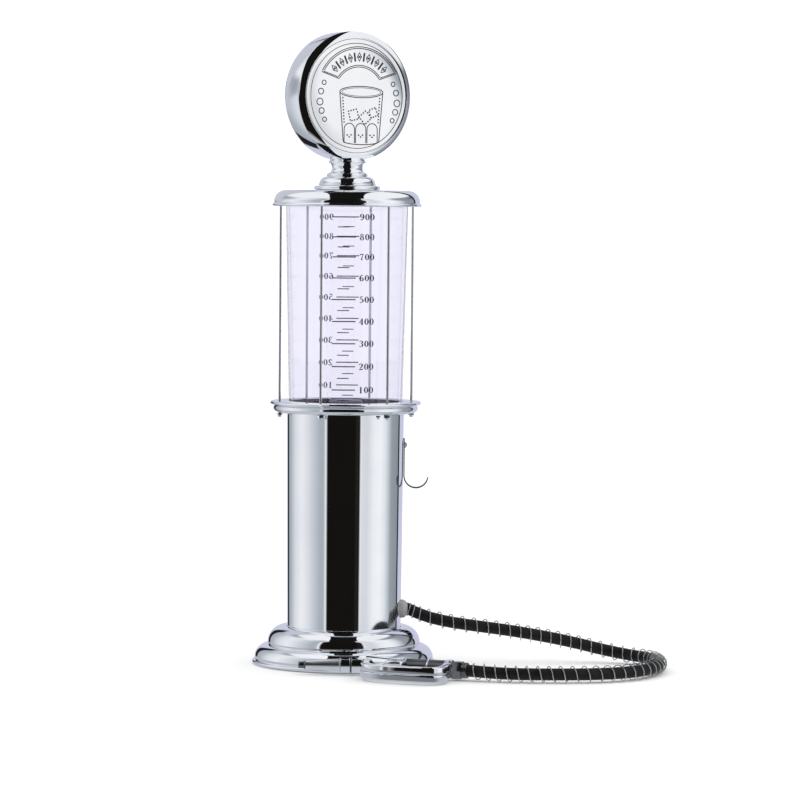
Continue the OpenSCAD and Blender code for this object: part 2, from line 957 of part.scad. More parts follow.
module bezel_solid() {
    rotate_extrude()
        difference() {
            union() {
                intersection() {
                    translate([globe_r - bezel_h, drum_half])
                        circle(r = bezel_h);
                    translate([0, drum_half])
                        square([globe_r, bezel_h]);
                }
                translate([globe_r - bezel_w, drum_half])
                    square([bezel_w - bezel_h, bezel_h]);
                translate([globe_r - bezel_w, drum_half - bezel_spigot])
                    square([bezel_w - drum_wall - seat, bezel_spigot + 1]);
            }
            translate([0, 0])
                square([face_r + seat, face_front + eps]);
        }
}

module face_solid() {
    rotate_extrude()
        difference() {
            translate([0, face_front - face_t])
                square([face_r, face_t]);
            translate([face_ring_r, face_front])
                circle(r = 0.25);
        }
}

module globe_bezel_front() {
    color("silver")
        globe_frame()
            bezel_solid();
}

module globe_bezel_rear() {
    color("silver")
        globe_frame()
            rotate([180, 0, 0])
                bezel_solid();
}

module globe_face_front() {
    color("whitesmoke")
        globe_frame()
            face_solid();
}

module globe_face_rear() {
    color("whitesmoke")
        globe_frame()
            rotate([180, 0, 0])
                face_solid();
}

// Frame of the nozzle's handle, and of its spout with +Z towards the tip.
module nozzle_frame() {
    translate(handle_end)
        rotate([0, 0, -nozzle_turn])
            translate([-handle_l, 0, 0])
                children();
}

module spout_frame() {
    nozzle_frame()
        rotate([0, 0, spout_bend])
            rotate([0, -90, 0])
                children();
}

module along_handle(x) {
    translate([x, 0, 0])
        rotate([0, 90, 0])
            children();
}

module handle_ring(r0, r1, x0, x1) {
    nozzle_frame()
        along_handle(0)
            ring_solid(r0, r1, x0, x1);
}

module shell_flat() {
    linear_extrude(height = guard_t, center = true) {
        ribbon(guard_path, guard_bar);
        polygon(cheek);
    }
}

module shell_whole() {
    difference() {
        union() {
            shell_flat();
            along_handle(housing_x0)
                cylinder(r = housing_r, h = housing_x1 - housing_x0);
            along_handle(clasp_x0)
                cylinder(r = housing_r, h = clasp_x1 - clasp_x0);
        }
        along_handle(housing_x0 - 5)
            cylinder(r = bore_r, h = housing_x1 - housing_x0 + 5);
        along_handle(housing_x1)
            cylinder(r = grip_r + seat, h = 60);
        translate([19, -20, -slot_half])
            cube([12.5, 20, 2 * slot_half]);
        translate([31, -20, -slot_half])
            cube([5, 14, 2 * slot_half]);
        translate([pin_at.x, pin_at.y, 0])
            cylinder(r = pin_r + seat, h = guard_t + 2, center = true);
        for (p = screw_places)
            translate([p.x, p.y, -guard_t])
                cylinder(r = shell_screw_r + seat, h = guard_t + 4);
    }
}

module nozzle_shell_upper() {
    color("silver")
        nozzle_frame()
            intersection() {
                shell_whole();
                translate([-20, -60, 0])
                    cube([120, 80, 20]);
            }
}

module nozzle_shell_lower() {
    color("silver")
        nozzle_frame()
            intersection() {
                shell_whole();
                translate([-20, -60, -20])
                    cube([120, 80, 20]);
            }
}

module grip_tube() {
    color("#303030")
        nozzle_frame()
            along_handle(0)
                rotate_extrude()
                    difference() {
                        union() {
                            translate([0, housing_x1])
                                square([grip_r, nut_x0 - housing_x1]);
                            translate([0, housing_x1 - 3])
                                square([bore_r - seat, 4]);
                        }
                        square([tube_bore, 2 * handle_l]);
                        translate([grip_r, clasp_x0 - 14])
                            circle(r = 0.3);
                    }
}

module spout() {
    color("silver")
        difference() {
            union() {
                nozzle_frame()
                    sphere(r = bore_r - 0.2);
                nozzle_frame()
                    along_handle(0)
                        cylinder(r = bore_r - seat, h = 5);
                spout_frame() {
                    cylinder(r = spout_pipe_r, h = collar_front[1] + 1);
                    translate([0, 0, collar_front[1]])
                        cylinder(r1 = spout_collar_r - 0.4, r2 = cone_tip_r, h = cone_end - collar_front[1]);
                }
            }
            nozzle_frame()
                along_handle(0)
                    cylinder(r = flow_r, h = 10);
            nozzle_frame()
                sphere(r = flow_r);
            spout_frame()
                cylinder(r = flow_r - 0.4, h = spout_l);
        }
}

module spout_ring(from, to, r) {
    spout_frame()
        ring_solid(spout_pipe_r + seat, r, from, to);
}

module spout_collar_front() {
    color("silver")
        spout_ring(collar_front[0], collar_front[1], spout_collar_r);
}

module spout_collar_rear() {
    color("silver")
        spout_ring(collar_rear[0], collar_rear[1], spout_collar_r);
}

module spout_band() {
    color("white")
        spout_ring(collar_rear[1], collar_front[0], spout_collar_r + 0.3);
}

module spout_tip() {
    color("#303030")
        spout_frame()
            rotate_extrude()
                difference() {
                    polygon([
                        [0, cone_end],
                        [cone_tip_r - 0.2, cone_end],
                        [tip_r, spout_l],
                        [0, spout_l]
                    ]);
                    square([flow_r - 0.4, spout_l + 1]);
                }
}

module valve_seat() {
    color("#303030")
        handle_ring(seat_hole, bore_r - seat, seat_x, seat_x + seat_t);
}

module valve_spring() {
    color("lightgray")
        handle_ring(spring_bore, spring_r, seat_x + seat_t, stop_x - 0.1);
}

module trigger_pin() {
    color("gray")
        nozzle_frame()
            translate([pin_at.x, pin_at.y, 0])
                cylinder(r = pin_r, h = guard_t - 0.4, center = true);
}

module shell_screws() {
    color("gray")
        nozzle_frame()
            for (p = screw_places)
                translate([p.x, p.y, -guard_t / 2 + 0.1])
                    cylinder(r = shell_screw_r, h = guard_t / 2 + 3);
}

module hose_nut() {
    color("dimgray")
        nozzle_frame()
            along_handle(nut_x0)
                rotate([0, 0, 30])
                    difference() {
                        cylinder(r = nut_r, h = nut_l, $fn = 6);
                        translate([0, 0, -1])
                            cylinder(r = tube_bore + 0.9, h = nut_l + 2);
                    }
}

module hose_ferrule() {
    color("gray")
        nozzle_frame()
            along_handle(0)
                rotate_extrude()
                    difference() {
                        translate([0, nut_x0 + nut_l])
                            square([ferrule_r, handle_l - nut_x0 - nut_l]);
                        square([tube_bore + 0.9, handle_l + 1]);
                        for (i = [1:3])
                            translate([ferrule_r, nut_x0 + nut_l + i])
                                circle(r = 0.3);
                    }
}

module hose_barb() {
    color("gray")
        handle_ring(flow_r, tube_bore + 0.9 - seat, nut_x0, handle_l);
}

module trigger() {
    color("silver")
        nozzle_frame()
            difference() {
                union() {
                    linear_extrude(height = 2 * trigger_half, center = true)
                        ribbon(trigger_path, trigger_bar);
                    translate([pin_at.x, pin_at.y, 0])
                        cylinder(r = trigger_hub_r, h = 2 * trigger_half + 0.4, center = true);
                    linear_extrude(height = 2 * trigger_half - 0.4, center = true)
                        translate([pin_at.x - finger_half, pin_at.y])
                            square([2 * finger_half, finger_top - pin_at.y]);
                }
                translate([pin_at.x, pin_at.y, 0])
                    cylinder(r = pin_r + run, h = guard_t, center = true);
            }
}

module valve_stem() {
    color("gray")
        nozzle_frame() {
            along_handle(seat_x - stem_head_l - run)
                cylinder(r = stem_head_r, h = stem_head_l);
            along_handle(seat_x - 1)
                cylinder(r = stem_r, h = stem_end - seat_x + 1);
            along_handle(stop_x)
                cylinder(r = spring_r, h = stop_l);
        }
}

base_shell();
base_plate();
base_pad();
base_screws();
column_foot_ring();
column_screws();
column_shell();
collar_ring();
lower_gasket();
tank();
tank_outlet();
outlet_seal();
outlet_nut();
feed_tube();
outlet_elbow();
elbow_locknut();
hose_grommet();
hook_strip();
hook_screw();
hook_nut();
tie_rods();
rod_nuts();
cap_dome();
cap_gasket();
hose();
hose_guard();
plug_body();
plug_seal();
neck_pedestal();
neck_screw();
globe_screw();
globe_drum();
globe_bezel_front();
globe_bezel_rear();
globe_face_front();
globe_face_rear();
nozzle_shell_upper();
nozzle_shell_lower();
grip_tube();
spout();
spout_collar_front();
spout_collar_rear();
spout_band();
spout_tip();
valve_seat();
valve_spring();
trigger_pin();
shell_screws();
hose_nut();
hose_ferrule();
hose_barb();
trigger();
valve_stem();
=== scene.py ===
"""Plated table-top drinks dispenser in the shape of a vintage gas pump.

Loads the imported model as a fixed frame, rebuilds its visible pieces as fine meshes in the same
places, gives every piece a procedural finish, and sets the camera, the floor and a soft studio
round it. Sizes are in millimetres in the code and in metres on the meshes.
"""

from __future__ import annotations

import json
import logging
import math
from dataclasses import dataclass, field
from enum import Enum
from typing import Callable, Iterable, Iterator, Sequence

import bmesh
import bpy
from mathutils import Matrix, Vector

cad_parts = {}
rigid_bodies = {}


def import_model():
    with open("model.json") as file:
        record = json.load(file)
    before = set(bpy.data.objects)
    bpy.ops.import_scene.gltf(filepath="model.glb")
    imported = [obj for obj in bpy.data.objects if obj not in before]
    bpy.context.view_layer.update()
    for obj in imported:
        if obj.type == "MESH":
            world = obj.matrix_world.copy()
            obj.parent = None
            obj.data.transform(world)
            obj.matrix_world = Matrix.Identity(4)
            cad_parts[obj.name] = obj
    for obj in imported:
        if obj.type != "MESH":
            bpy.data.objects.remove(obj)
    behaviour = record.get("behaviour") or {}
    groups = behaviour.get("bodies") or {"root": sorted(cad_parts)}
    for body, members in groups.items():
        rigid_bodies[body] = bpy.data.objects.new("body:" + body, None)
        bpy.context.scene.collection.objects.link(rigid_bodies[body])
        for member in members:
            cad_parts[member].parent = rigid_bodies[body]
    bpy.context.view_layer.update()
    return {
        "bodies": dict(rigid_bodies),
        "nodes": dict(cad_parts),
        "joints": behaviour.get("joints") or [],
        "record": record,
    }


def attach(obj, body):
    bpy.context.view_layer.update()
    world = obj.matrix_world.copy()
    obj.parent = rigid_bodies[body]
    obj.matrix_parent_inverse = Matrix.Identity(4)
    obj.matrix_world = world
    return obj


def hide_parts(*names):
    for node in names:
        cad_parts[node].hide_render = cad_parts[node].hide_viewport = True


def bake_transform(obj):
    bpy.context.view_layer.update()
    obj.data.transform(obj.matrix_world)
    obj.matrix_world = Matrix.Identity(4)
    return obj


LOG = logging.getLogger("dispenser")
MM = 0.001
TINY = 1e-6
FINE_STEPS = 256
ROUND_STEPS = 192
SMALL_STEPS = 64
SHARP_EDGE = 32.0

Point2 = tuple[float, float]
Point3 = tuple[float, float, float]
Colour = tuple[float, float, float]
Face = tuple[int, ...]
Placer = Callable[[float, float, float], Point3]
Socket = bpy.types.NodeSocket
Place = tuple[Socket, Socket, Socket]


class Body(Enum):
    """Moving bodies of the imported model."""

    PUMP = "pump"
    PLUG = "filler_plug"
    GLOBE = "globe"
    NOZZLE = "nozzle"
    TRIGGER = "trigger"
    VALVE = "valve"


class Slot(Enum):
    """Material slots of the record."""

    CHROME = "chrome_plate"
    FACE = "face_chrome"
    STEEL = "bright_steel"
    DARK_STEEL = "dark_steel"
    WIRE = "guard_wire"
    ZINC = "zinc_steel"
    CLEAR = "clear_plastic"
    WHITE = "white_plastic"
    GREY = "grey_plastic"
    BLACK = "black_plastic"
    SEAL = "white_seal"
    BLACK_RUBBER = "black_rubber"
    PAD = "pad_rubber"
    HOSE = "hose_rubber"


# ---- Finishes


class ShaderSheet:
    """Thin helper round a node tree."""

    def __init__(self, tree: bpy.types.NodeTree) -> None:
        """Start from an empty tree.

        Args:
            tree: The tree to fill.
        """
        self.tree = tree
        tree.nodes.clear()

    def node(self, kind: str, **values: object) -> bpy.types.Node:
        """Add a node.

        Args:
            kind: Blender's type name of the node.
            values: Attributes of the node, or sockets when the name starts with an underscore.

        Returns:
            The new node.
        """
        made = self.tree.nodes.new(kind)
        for name, value in values.items():
            if name.startswith("_"):
                made.inputs[name[1:].replace("_", " ")].default_value = value
            else:
                setattr(made, name, value)
        return made

    def link(self, source: Socket, target: Socket) -> None:
        """Join two sockets."""
        self.tree.links.new(source, target)

    def sum_up(self, operation: str, first: object, second: object = 0.0) -> Socket:
        """Add a math node.

        Args:
            operation: Blender's name of the operation.
            first: A socket or a number.
            second: A socket or a number.

        Returns:
            The result's socket.
        """
        made = self.node("ShaderNodeMath", operation=operation)
        for slot, value in enumerate((first, second)):
            if isinstance(value, Socket):
                self.link(value, made.inputs[slot])
            else:
                made.inputs[slot].default_value = value
        return made.outputs[0]

    def between(self, value: Socket, source: Point2, target: Point2, smooth: bool = False) -> Socket:
        """Map a value from one range to another, clamped.

        Args:
            value: The socket to map.
            source: The range it comes in.
            target: The range it goes out in.
            smooth: Whether the step is smooth instead of straight.

        Returns:
            The mapped socket.
        """
        made = self.node("ShaderNodeMapRange")
        if smooth:
            made.interpolation_type = "SMOOTHSTEP"
        self.link(value, made.inputs["Value"])
        for name, number in zip(("From Min", "From Max", "To Min", "To Max"), source + target):
            made.inputs[name].default_value = number
        return made.outputs["Result"]

    def noise(self, place: Socket, scale: float, detail: float = 2.0, rough: float = 0.5) -> Socket:
        """Add a noise pattern.

        Args:
            place: Where the pattern is read.
            scale: Its scale, per metre.
            detail: Number of finer layers.
            rough: Weight of the finer layers.

        Returns:
            The pattern's value.
        """
        made = self.node("ShaderNodeTexNoise", _Scale=scale, _Detail=detail, _Roughness=rough)
        self.link(place, made.inputs["Vector"])
        return made.outputs["Fac"]

    def object_place(self, stretch: Point3 = (1.0, 1.0, 1.0)) -> Socket:
        """Give object coordinates.

        Args:
            stretch: Stretch along each axis.

        Returns:
            The coordinates.
        """
        place = self.node("ShaderNodeTexCoord")
        mapping = self.node("ShaderNodeMapping")
        mapping.inputs["Scale"].default_value = stretch
        self.link(place.outputs["Object"], mapping.inputs["Vector"])
        return mapping.outputs["Vector"]

    def mixed(self, share: Socket, first: object, second: object) -> Socket:
        """Mix two colours.

        Args:
            share: Share of the second colour.
            first: A socket or a plain colour.
            second: A socket or a plain colour.

        Returns:
            The mixed colour.
        """
        made = self.node("ShaderNodeMix", data_type="RGBA")
        self.link(share, made.inputs["Factor"])
        for name, value in (("A", first), ("B", second)):
            if isinstance(value, Socket):
                self.link(value, made.inputs[name])
            else:
                made.inputs[name].default_value = (*value, 1.0)
        return made.outputs["Result"]


@dataclass(frozen=True)
class Finish:
    """A finish: colour, gloss and the fine relief of its surface.

    Attributes:
        name: Name of the material.
        slot: The record's slot that the finish belongs to.
        colour: Base colour, linear.
        shade: Second colour that the first wanders towards.
        metallic: How metallic the surface is.
        roughness: Smallest and largest roughness.
        smudge: Size of the wandering marks, as a noise scale per metre.
        grain: Noise scale of the fine relief, per metre.
        grain_depth: Depth of the fine relief in millimetres.
        stretch: Stretch of the relief along each axis.
        specular: Specular level of a non-metal.
    """

    name: str
    slot: Slot
    colour: Colour
    shade: Colour
    metallic: float = 0.0
    roughness: Point2 = (0.3, 0.4)
    smudge: float = 30.0
    grain: float = 400.0
    grain_depth: float = 0.01
    stretch: Point3 = (1.0, 1.0, 1.0)
    specular: float = 0.5

    def material(self) -> bpy.types.Material:
        """Give the material, built on first use.

        Returns:
            The material.
        """
        made = bpy.data.materials.get(self.name)
        if made is None:
            made = bpy.data.materials.new(self.name)
            made.use_nodes = True
            made.diffuse_color = (*self.colour, 1.0)
            self.dress(ShaderSheet(made.node_tree))
        return made

    def extras(self) -> dict[str, float]:
        """Give further values of the surface, by the name of their socket."""
        return {}

    def dress(self, sheet: ShaderSheet) -> None:
        """Fill the node tree.

        Args:
            sheet: The tree to fill.
        """
        out = sheet.node("ShaderNodeOutputMaterial")
        surface = sheet.node("ShaderNodeBsdfPrincipled", _Metallic=self.metallic)
        for name, value in {"Specular IOR Level": self.specular, **self.extras()}.items():
            surface.inputs[name].default_value = value
        place = sheet.object_place(self.stretch)
        marks = sheet.noise(place, self.smudge, 4.0, 0.6)
        blotches = sheet.between(marks, (0.3, 0.7), (0.0, 1.0), True)
        sheet.link(sheet.mixed(blotches, self.colour, self.shade), surface.inputs["Base Color"])
        sheet.link(sheet.between(marks, (0.35, 0.7), self.roughness), surface.inputs["Roughness"])
        relief = sheet.node("ShaderNodeBump", _Strength=1.0, _Distance=self.grain_depth * MM)
        sheet.link(sheet.noise(place, self.grain, 3.0), relief.inputs["Height"])
        sheet.link(relief.outputs["Normal"], surface.inputs["Normal"])
        sheet.link(surface.outputs["BSDF"], out.inputs["Surface"])


@dataclass(frozen=True)
class HoseSkin(Finish):
    """Extruded rubber: a dull skin with a soft sheen of dust."""

    sheen: float = 0.015

    def extras(self) -> dict[str, float]:
        """Add the sheen."""
        return {"Sheen Weight": self.sheen, "Sheen Roughness": 0.4}


@dataclass(frozen=True)
class ClearPlastic(Finish):
    """Clear moulded plastic with a faint cool tint and slight moulding waves."""

    index: float = 1.46

    def extras(self) -> dict[str, float]:
        """Let light through."""
        return {"Transmission Weight": 1.0, "IOR": self.index}


@dataclass(frozen=True)
class MouldedPlastic(Finish):
    """Moulded plastic with an even satin skin and light scattered inside it."""

    glow: float = 0.05

    def extras(self) -> dict[str, float]:
        """Add the scattering."""
        return {"Subsurface Weight": self.glow, "Subsurface Scale": 0.002}


PLATE = Finish(
    "plated_chrome", Slot.CHROME, (0.90, 0.915, 0.94), (0.84, 0.86, 0.90), 1.0, (0.02, 0.05),
    18.0, 260.0, 0.0012,
)
SATIN_PLATE = Finish(
    "satin_spout_plate", Slot.CHROME, (0.88, 0.89, 0.91), (0.80, 0.81, 0.84), 1.0, (0.26, 0.36),
    60.0, 1500.0, 0.003,
)
FACE_PLATE = Finish(
    "satin_face_chrome", Slot.FACE, (0.93, 0.935, 0.95), (0.88, 0.885, 0.91), 1.0, (0.10, 0.17),
    24.0, 900.0, 0.002,
)
STEEL = Finish(
    "bright_drawn_steel", Slot.STEEL, (0.60, 0.61, 0.63), (0.48, 0.49, 0.52), 1.0, (0.12, 0.22),
    60.0, 1600.0, 0.004, (1.0, 1.0, 0.08),
)
DARK_STEEL = Finish(
    "black_nickel", Slot.DARK_STEEL, (0.24, 0.24, 0.24), (0.16, 0.16, 0.165), 1.0, (0.16, 0.30),
    80.0, 1400.0, 0.006,
)
# Chrome with a near-black base colour: the darkness is a painted reflection of the dark front panel that
# the grip tube faces.
PAINTED_REFLECTION_CHROME = Finish(
    "chrome_painted_dark_reflection", Slot.DARK_STEEL, (0.115, 0.115, 0.12), (0.08, 0.08, 0.085), 1.0, (0.05, 0.10),
    60.0, 900.0, 0.002,
)
NUT_STEEL = Finish(
    "bright_nut_steel", Slot.STEEL, (0.90, 0.91, 0.93), (0.80, 0.81, 0.84), 1.0, (0.16, 0.26),
    90.0, 1500.0, 0.003,
)
# Strip steel with a near-black base colour: the darkness is a painted reflection of the dark front panel
# that the hook strip's edges face. The spout band takes the same finish.
DARK_REFLECTION_STEEL = Finish(
    "strip_steel_painted_dark_reflection", Slot.STEEL, (0.12, 0.125, 0.13), (0.09, 0.095, 0.10), 1.0, (0.06, 0.12),
    60.0, 900.0, 0.002,
)
GUARD_WIRE = Finish(
    "spring_wire", Slot.WIRE, (0.62, 0.62, 0.60), (0.45, 0.45, 0.43), 1.0, (0.22, 0.34),
    120.0, 2500.0, 0.004,
)
ZINC = Finish(
    "zinc_plate", Slot.ZINC, (0.58, 0.59, 0.57), (0.46, 0.47, 0.48), 1.0, (0.28, 0.42),
    90.0, 1500.0, 0.008,
)
CLEAR = ClearPlastic(
    "clear_tank_plastic", Slot.CLEAR, (0.865, 0.855, 0.925), (0.85, 0.845, 0.92), 0.0, (0.0, 0.012),
    12.0, 40.0, 0.004, (1.0, 1.0, 0.25),
)
WHITE = MouldedPlastic(
    "white_moulding", Slot.WHITE, (0.78, 0.78, 0.77), (0.72, 0.72, 0.70), 0.0, (0.35, 0.45),
    60.0, 900.0, 0.01,
)
GREY = MouldedPlastic(
    "grey_moulding", Slot.GREY, (0.34, 0.34, 0.345), (0.29, 0.29, 0.295), 0.0, (0.32, 0.45),
    90.0, 1200.0, 0.012,
)
BLACK = MouldedPlastic(
    "black_moulding", Slot.BLACK, (0.018, 0.018, 0.019), (0.028, 0.028, 0.029), 0.0, (0.38, 0.5),
    70.0, 1100.0, 0.02, glow=0.0,
)
SEAL = MouldedPlastic(
    "white_silicone", Slot.SEAL, (0.74, 0.74, 0.72), (0.66, 0.66, 0.64), 0.0, (0.5, 0.6),
    80.0, 700.0, 0.01,
)
BLACK_RUBBER = Finish(
    "seal_rubber", Slot.BLACK_RUBBER, (0.02, 0.02, 0.021), (0.03, 0.03, 0.03), 0.0, (0.5, 0.65),
    90.0, 1300.0, 0.02,
)
PAD_RUBBER = Finish(
    "foam_pad", Slot.PAD, (0.022, 0.022, 0.023), (0.04, 0.04, 0.04), 0.0, (0.75, 0.9),
    120.0, 1800.0, 0.08,
)
HOSE_RUBBER = HoseSkin(
    "hose_rubber_skin", Slot.HOSE, (0.004, 0.004, 0.0045), (0.009, 0.009, 0.010), 0.0, (0.42, 0.56),
    140.0, 2200.0, 0.03, specular=0.22,
)
ENGRAVING = Finish(
    "engraved_line", Slot.DARK_STEEL, (0.012, 0.012, 0.014), (0.03, 0.03, 0.035), 0.2, (0.4, 0.55),
    150.0, 2500.0, 0.004,
)
SCALE_INK = Finish(
    "scale_ink", Slot.BLACK, (0.012, 0.012, 0.016), (0.04, 0.04, 0.05), 0.0, (0.4, 0.55),
    220.0, 2600.0, 0.003,
)
FINISH_OF_SLOT: dict[str, Finish] = {
    finish.slot.value: finish
    for finish in (
        PLATE, FACE_PLATE, STEEL, DARK_STEEL, GUARD_WIRE, ZINC, CLEAR, WHITE, GREY, BLACK, SEAL,
        BLACK_RUBBER, PAD_RUBBER, HOSE_RUBBER,
    )
}


# ---- Shapes


def oval(centre: Point2, reach: Point2, start: float, end: float, steps: int) -> list[Point2]:
    """Points on an upright oval.

    Args:
        centre: Centre of the oval.
        reach: Half its width and half its height.
        start: First angle in degrees.
        end: Last angle in degrees.
        steps: Number of stretches.

    Returns:
        The points, both ends included.
    """
    turns = [math.radians(start + (end - start) * i / steps) for i in range(steps + 1)]
    return [
        (centre[0] + reach[0] * math.cos(t), centre[1] + reach[1] * math.sin(t)) for t in turns
    ]


def arc(centre: Point2, radius: float, start: float, end: float, steps: int = 10) -> list[Point2]:
    """Points on an arc.

    Args:
        centre: Centre of the arc.
        radius: Its radius.
        start: First angle in degrees.
        end: Last angle in degrees.
        steps: Number of stretches.

    Returns:
        The points, both ends included.
    """
    return oval(centre, (radius, radius), start, end, steps)


def hexagon(radius: float) -> list[Point2]:
    """Corners of a hexagon round the origin."""
    return arc((0.0, 0.0), radius, 0, 300, 5)


def rounded(corners: Sequence[tuple[float, float, float]], steps: int = 5) -> list[Point2]:
    """Closed outline with rounded corners.

    Args:
        corners: Each corner's two coordinates and its rounding radius.
        steps: Stretches on each rounding.

    Returns:
        The outline's points.
    """
    points: list[Point2] = []
    count = len(corners)
    for i, (x, y, radius) in enumerate(corners):
        here = Vector((x, y))
        back = Vector(corners[i - 1][:2]) - here
        ahead = Vector(corners[(i + 1) % count][:2]) - here
        angle = back.angle(ahead)
        reach = min(radius / math.tan(angle / 2), 0.49 * back.length, 0.49 * ahead.length)
        first = here + back.normalized() * reach
        last = here + ahead.normalized() * reach
        for k in range(steps + 1):
            t = k / steps
            bend = (1 - t) ** 2 * first + 2 * t * (1 - t) * here + t * t * last
            points.append((bend.x, bend.y))
    return points


def soft_box(half_w: float, half_h: float, soft: float, steps: int) -> list[Point2]:
    """Draw a rectangle round the origin, with rounded corners.

    Args:
        half_w: Half its width.
        half_h: Half its height.
        soft: Rounding of its corners.
        steps: Stretches on each rounding.

    Returns:
        The outline's points.
    """
    corners = ((-half_w, -half_h), (half_w, -half_h), (half_w, half_h), (-half_w, half_h))
    return rounded([(x, y, soft) for x, y in corners], steps)


def crossing_angles(first: Point2, first_r: float, second: Point2, second_r: float) -> Point2:
    """Angles, in degrees, at which two circles cross on their outer side.

    Args:
        first: Centre of the first circle.
        first_r: Its radius.
        second: Centre of the second circle.
        second_r: Its radius.

    Returns:
        The crossing's angle on the first circle and on the second.
    """
    apart = Vector(second) - Vector(first)
    along = (apart.length_squared + first_r**2 - second_r**2) / (2 * apart.length)
    height = math.sqrt(first_r**2 - along**2)
    unit = apart.normalized()
    side = Vector((unit.y, -unit.x))
    place = Vector(first) + unit * along + side * height
    return tuple(
        math.degrees(math.atan2(place.y - centre[1], place.x - centre[0]))
        for centre in (first, second)
    )


def flowing(points: Sequence[Sequence[float]], step: float) -> list[Vector]:
    """Smooth curve through points, sampled evenly.

    Args:
        points: Points of a route, in two or three dimensions.
        step: Wanted distance between samples.

    Returns:
        The samples, both ends included.
    """
    parts = 24
    knots = [Vector(p) for p in points]
    knots = [2 * knots[0] - knots[1]] + knots + [2 * knots[-1] - knots[-2]]
    fine: list[Vector] = []
    for a, b, c, d in zip(knots, knots[1:], knots[2:], knots[3:]):
        for k in range(parts):
            t = k / parts
            lean = (c - a) * t
            sag = (2 * a - 5 * b + 4 * c - d) * t * t
            twist = (3 * b - a - 3 * c + d) * t**3
            fine.append(0.5 * (2 * b + lean + sag + twist))
    fine.append(knots[-2])
    return evenly(fine, step)


def evenly(line: Sequence[Vector], step: float) -> list[Vector]:
    """Resample a polyline at an even step.

    Args:
        line: The polyline.
        step: Wanted distance between samples.

    Returns:
        The samples, both ends included.
    """
    reach = [0.0]
    for a, b in zip(line, line[1:]):
        reach.append(reach[-1] + (b - a).length)
    count = max(2, round(reach[-1] / step))
    samples: list[Vector] = []
    k = 0
    for i in range(count + 1):
        want = reach[-1] * i / count
        while k < len(line) - 2 and reach[k + 1] < want:
            k += 1
        span = max(1e-9, reach[k + 1] - reach[k])
        samples.append(line[k].lerp(line[k + 1], min(1.0, (want - reach[k]) / span)))
    return samples


def line_length(line: Sequence[Vector]) -> float:
    """Length of a polyline."""
    return sum((b - a).length for a, b in zip(line, line[1:]))


def walked(line: Sequence[Vector]) -> Iterator[tuple[Vector, Vector]]:
    """Walk along a line.

    Args:
        line: The line's points.

    Returns:
        Each point in turn, with the line's direction there.
    """
    last = len(line) - 1
    for i, here in enumerate(line):
        yield here, (line[min(i + 1, last)] - line[max(i - 1, 0)]).normalized()


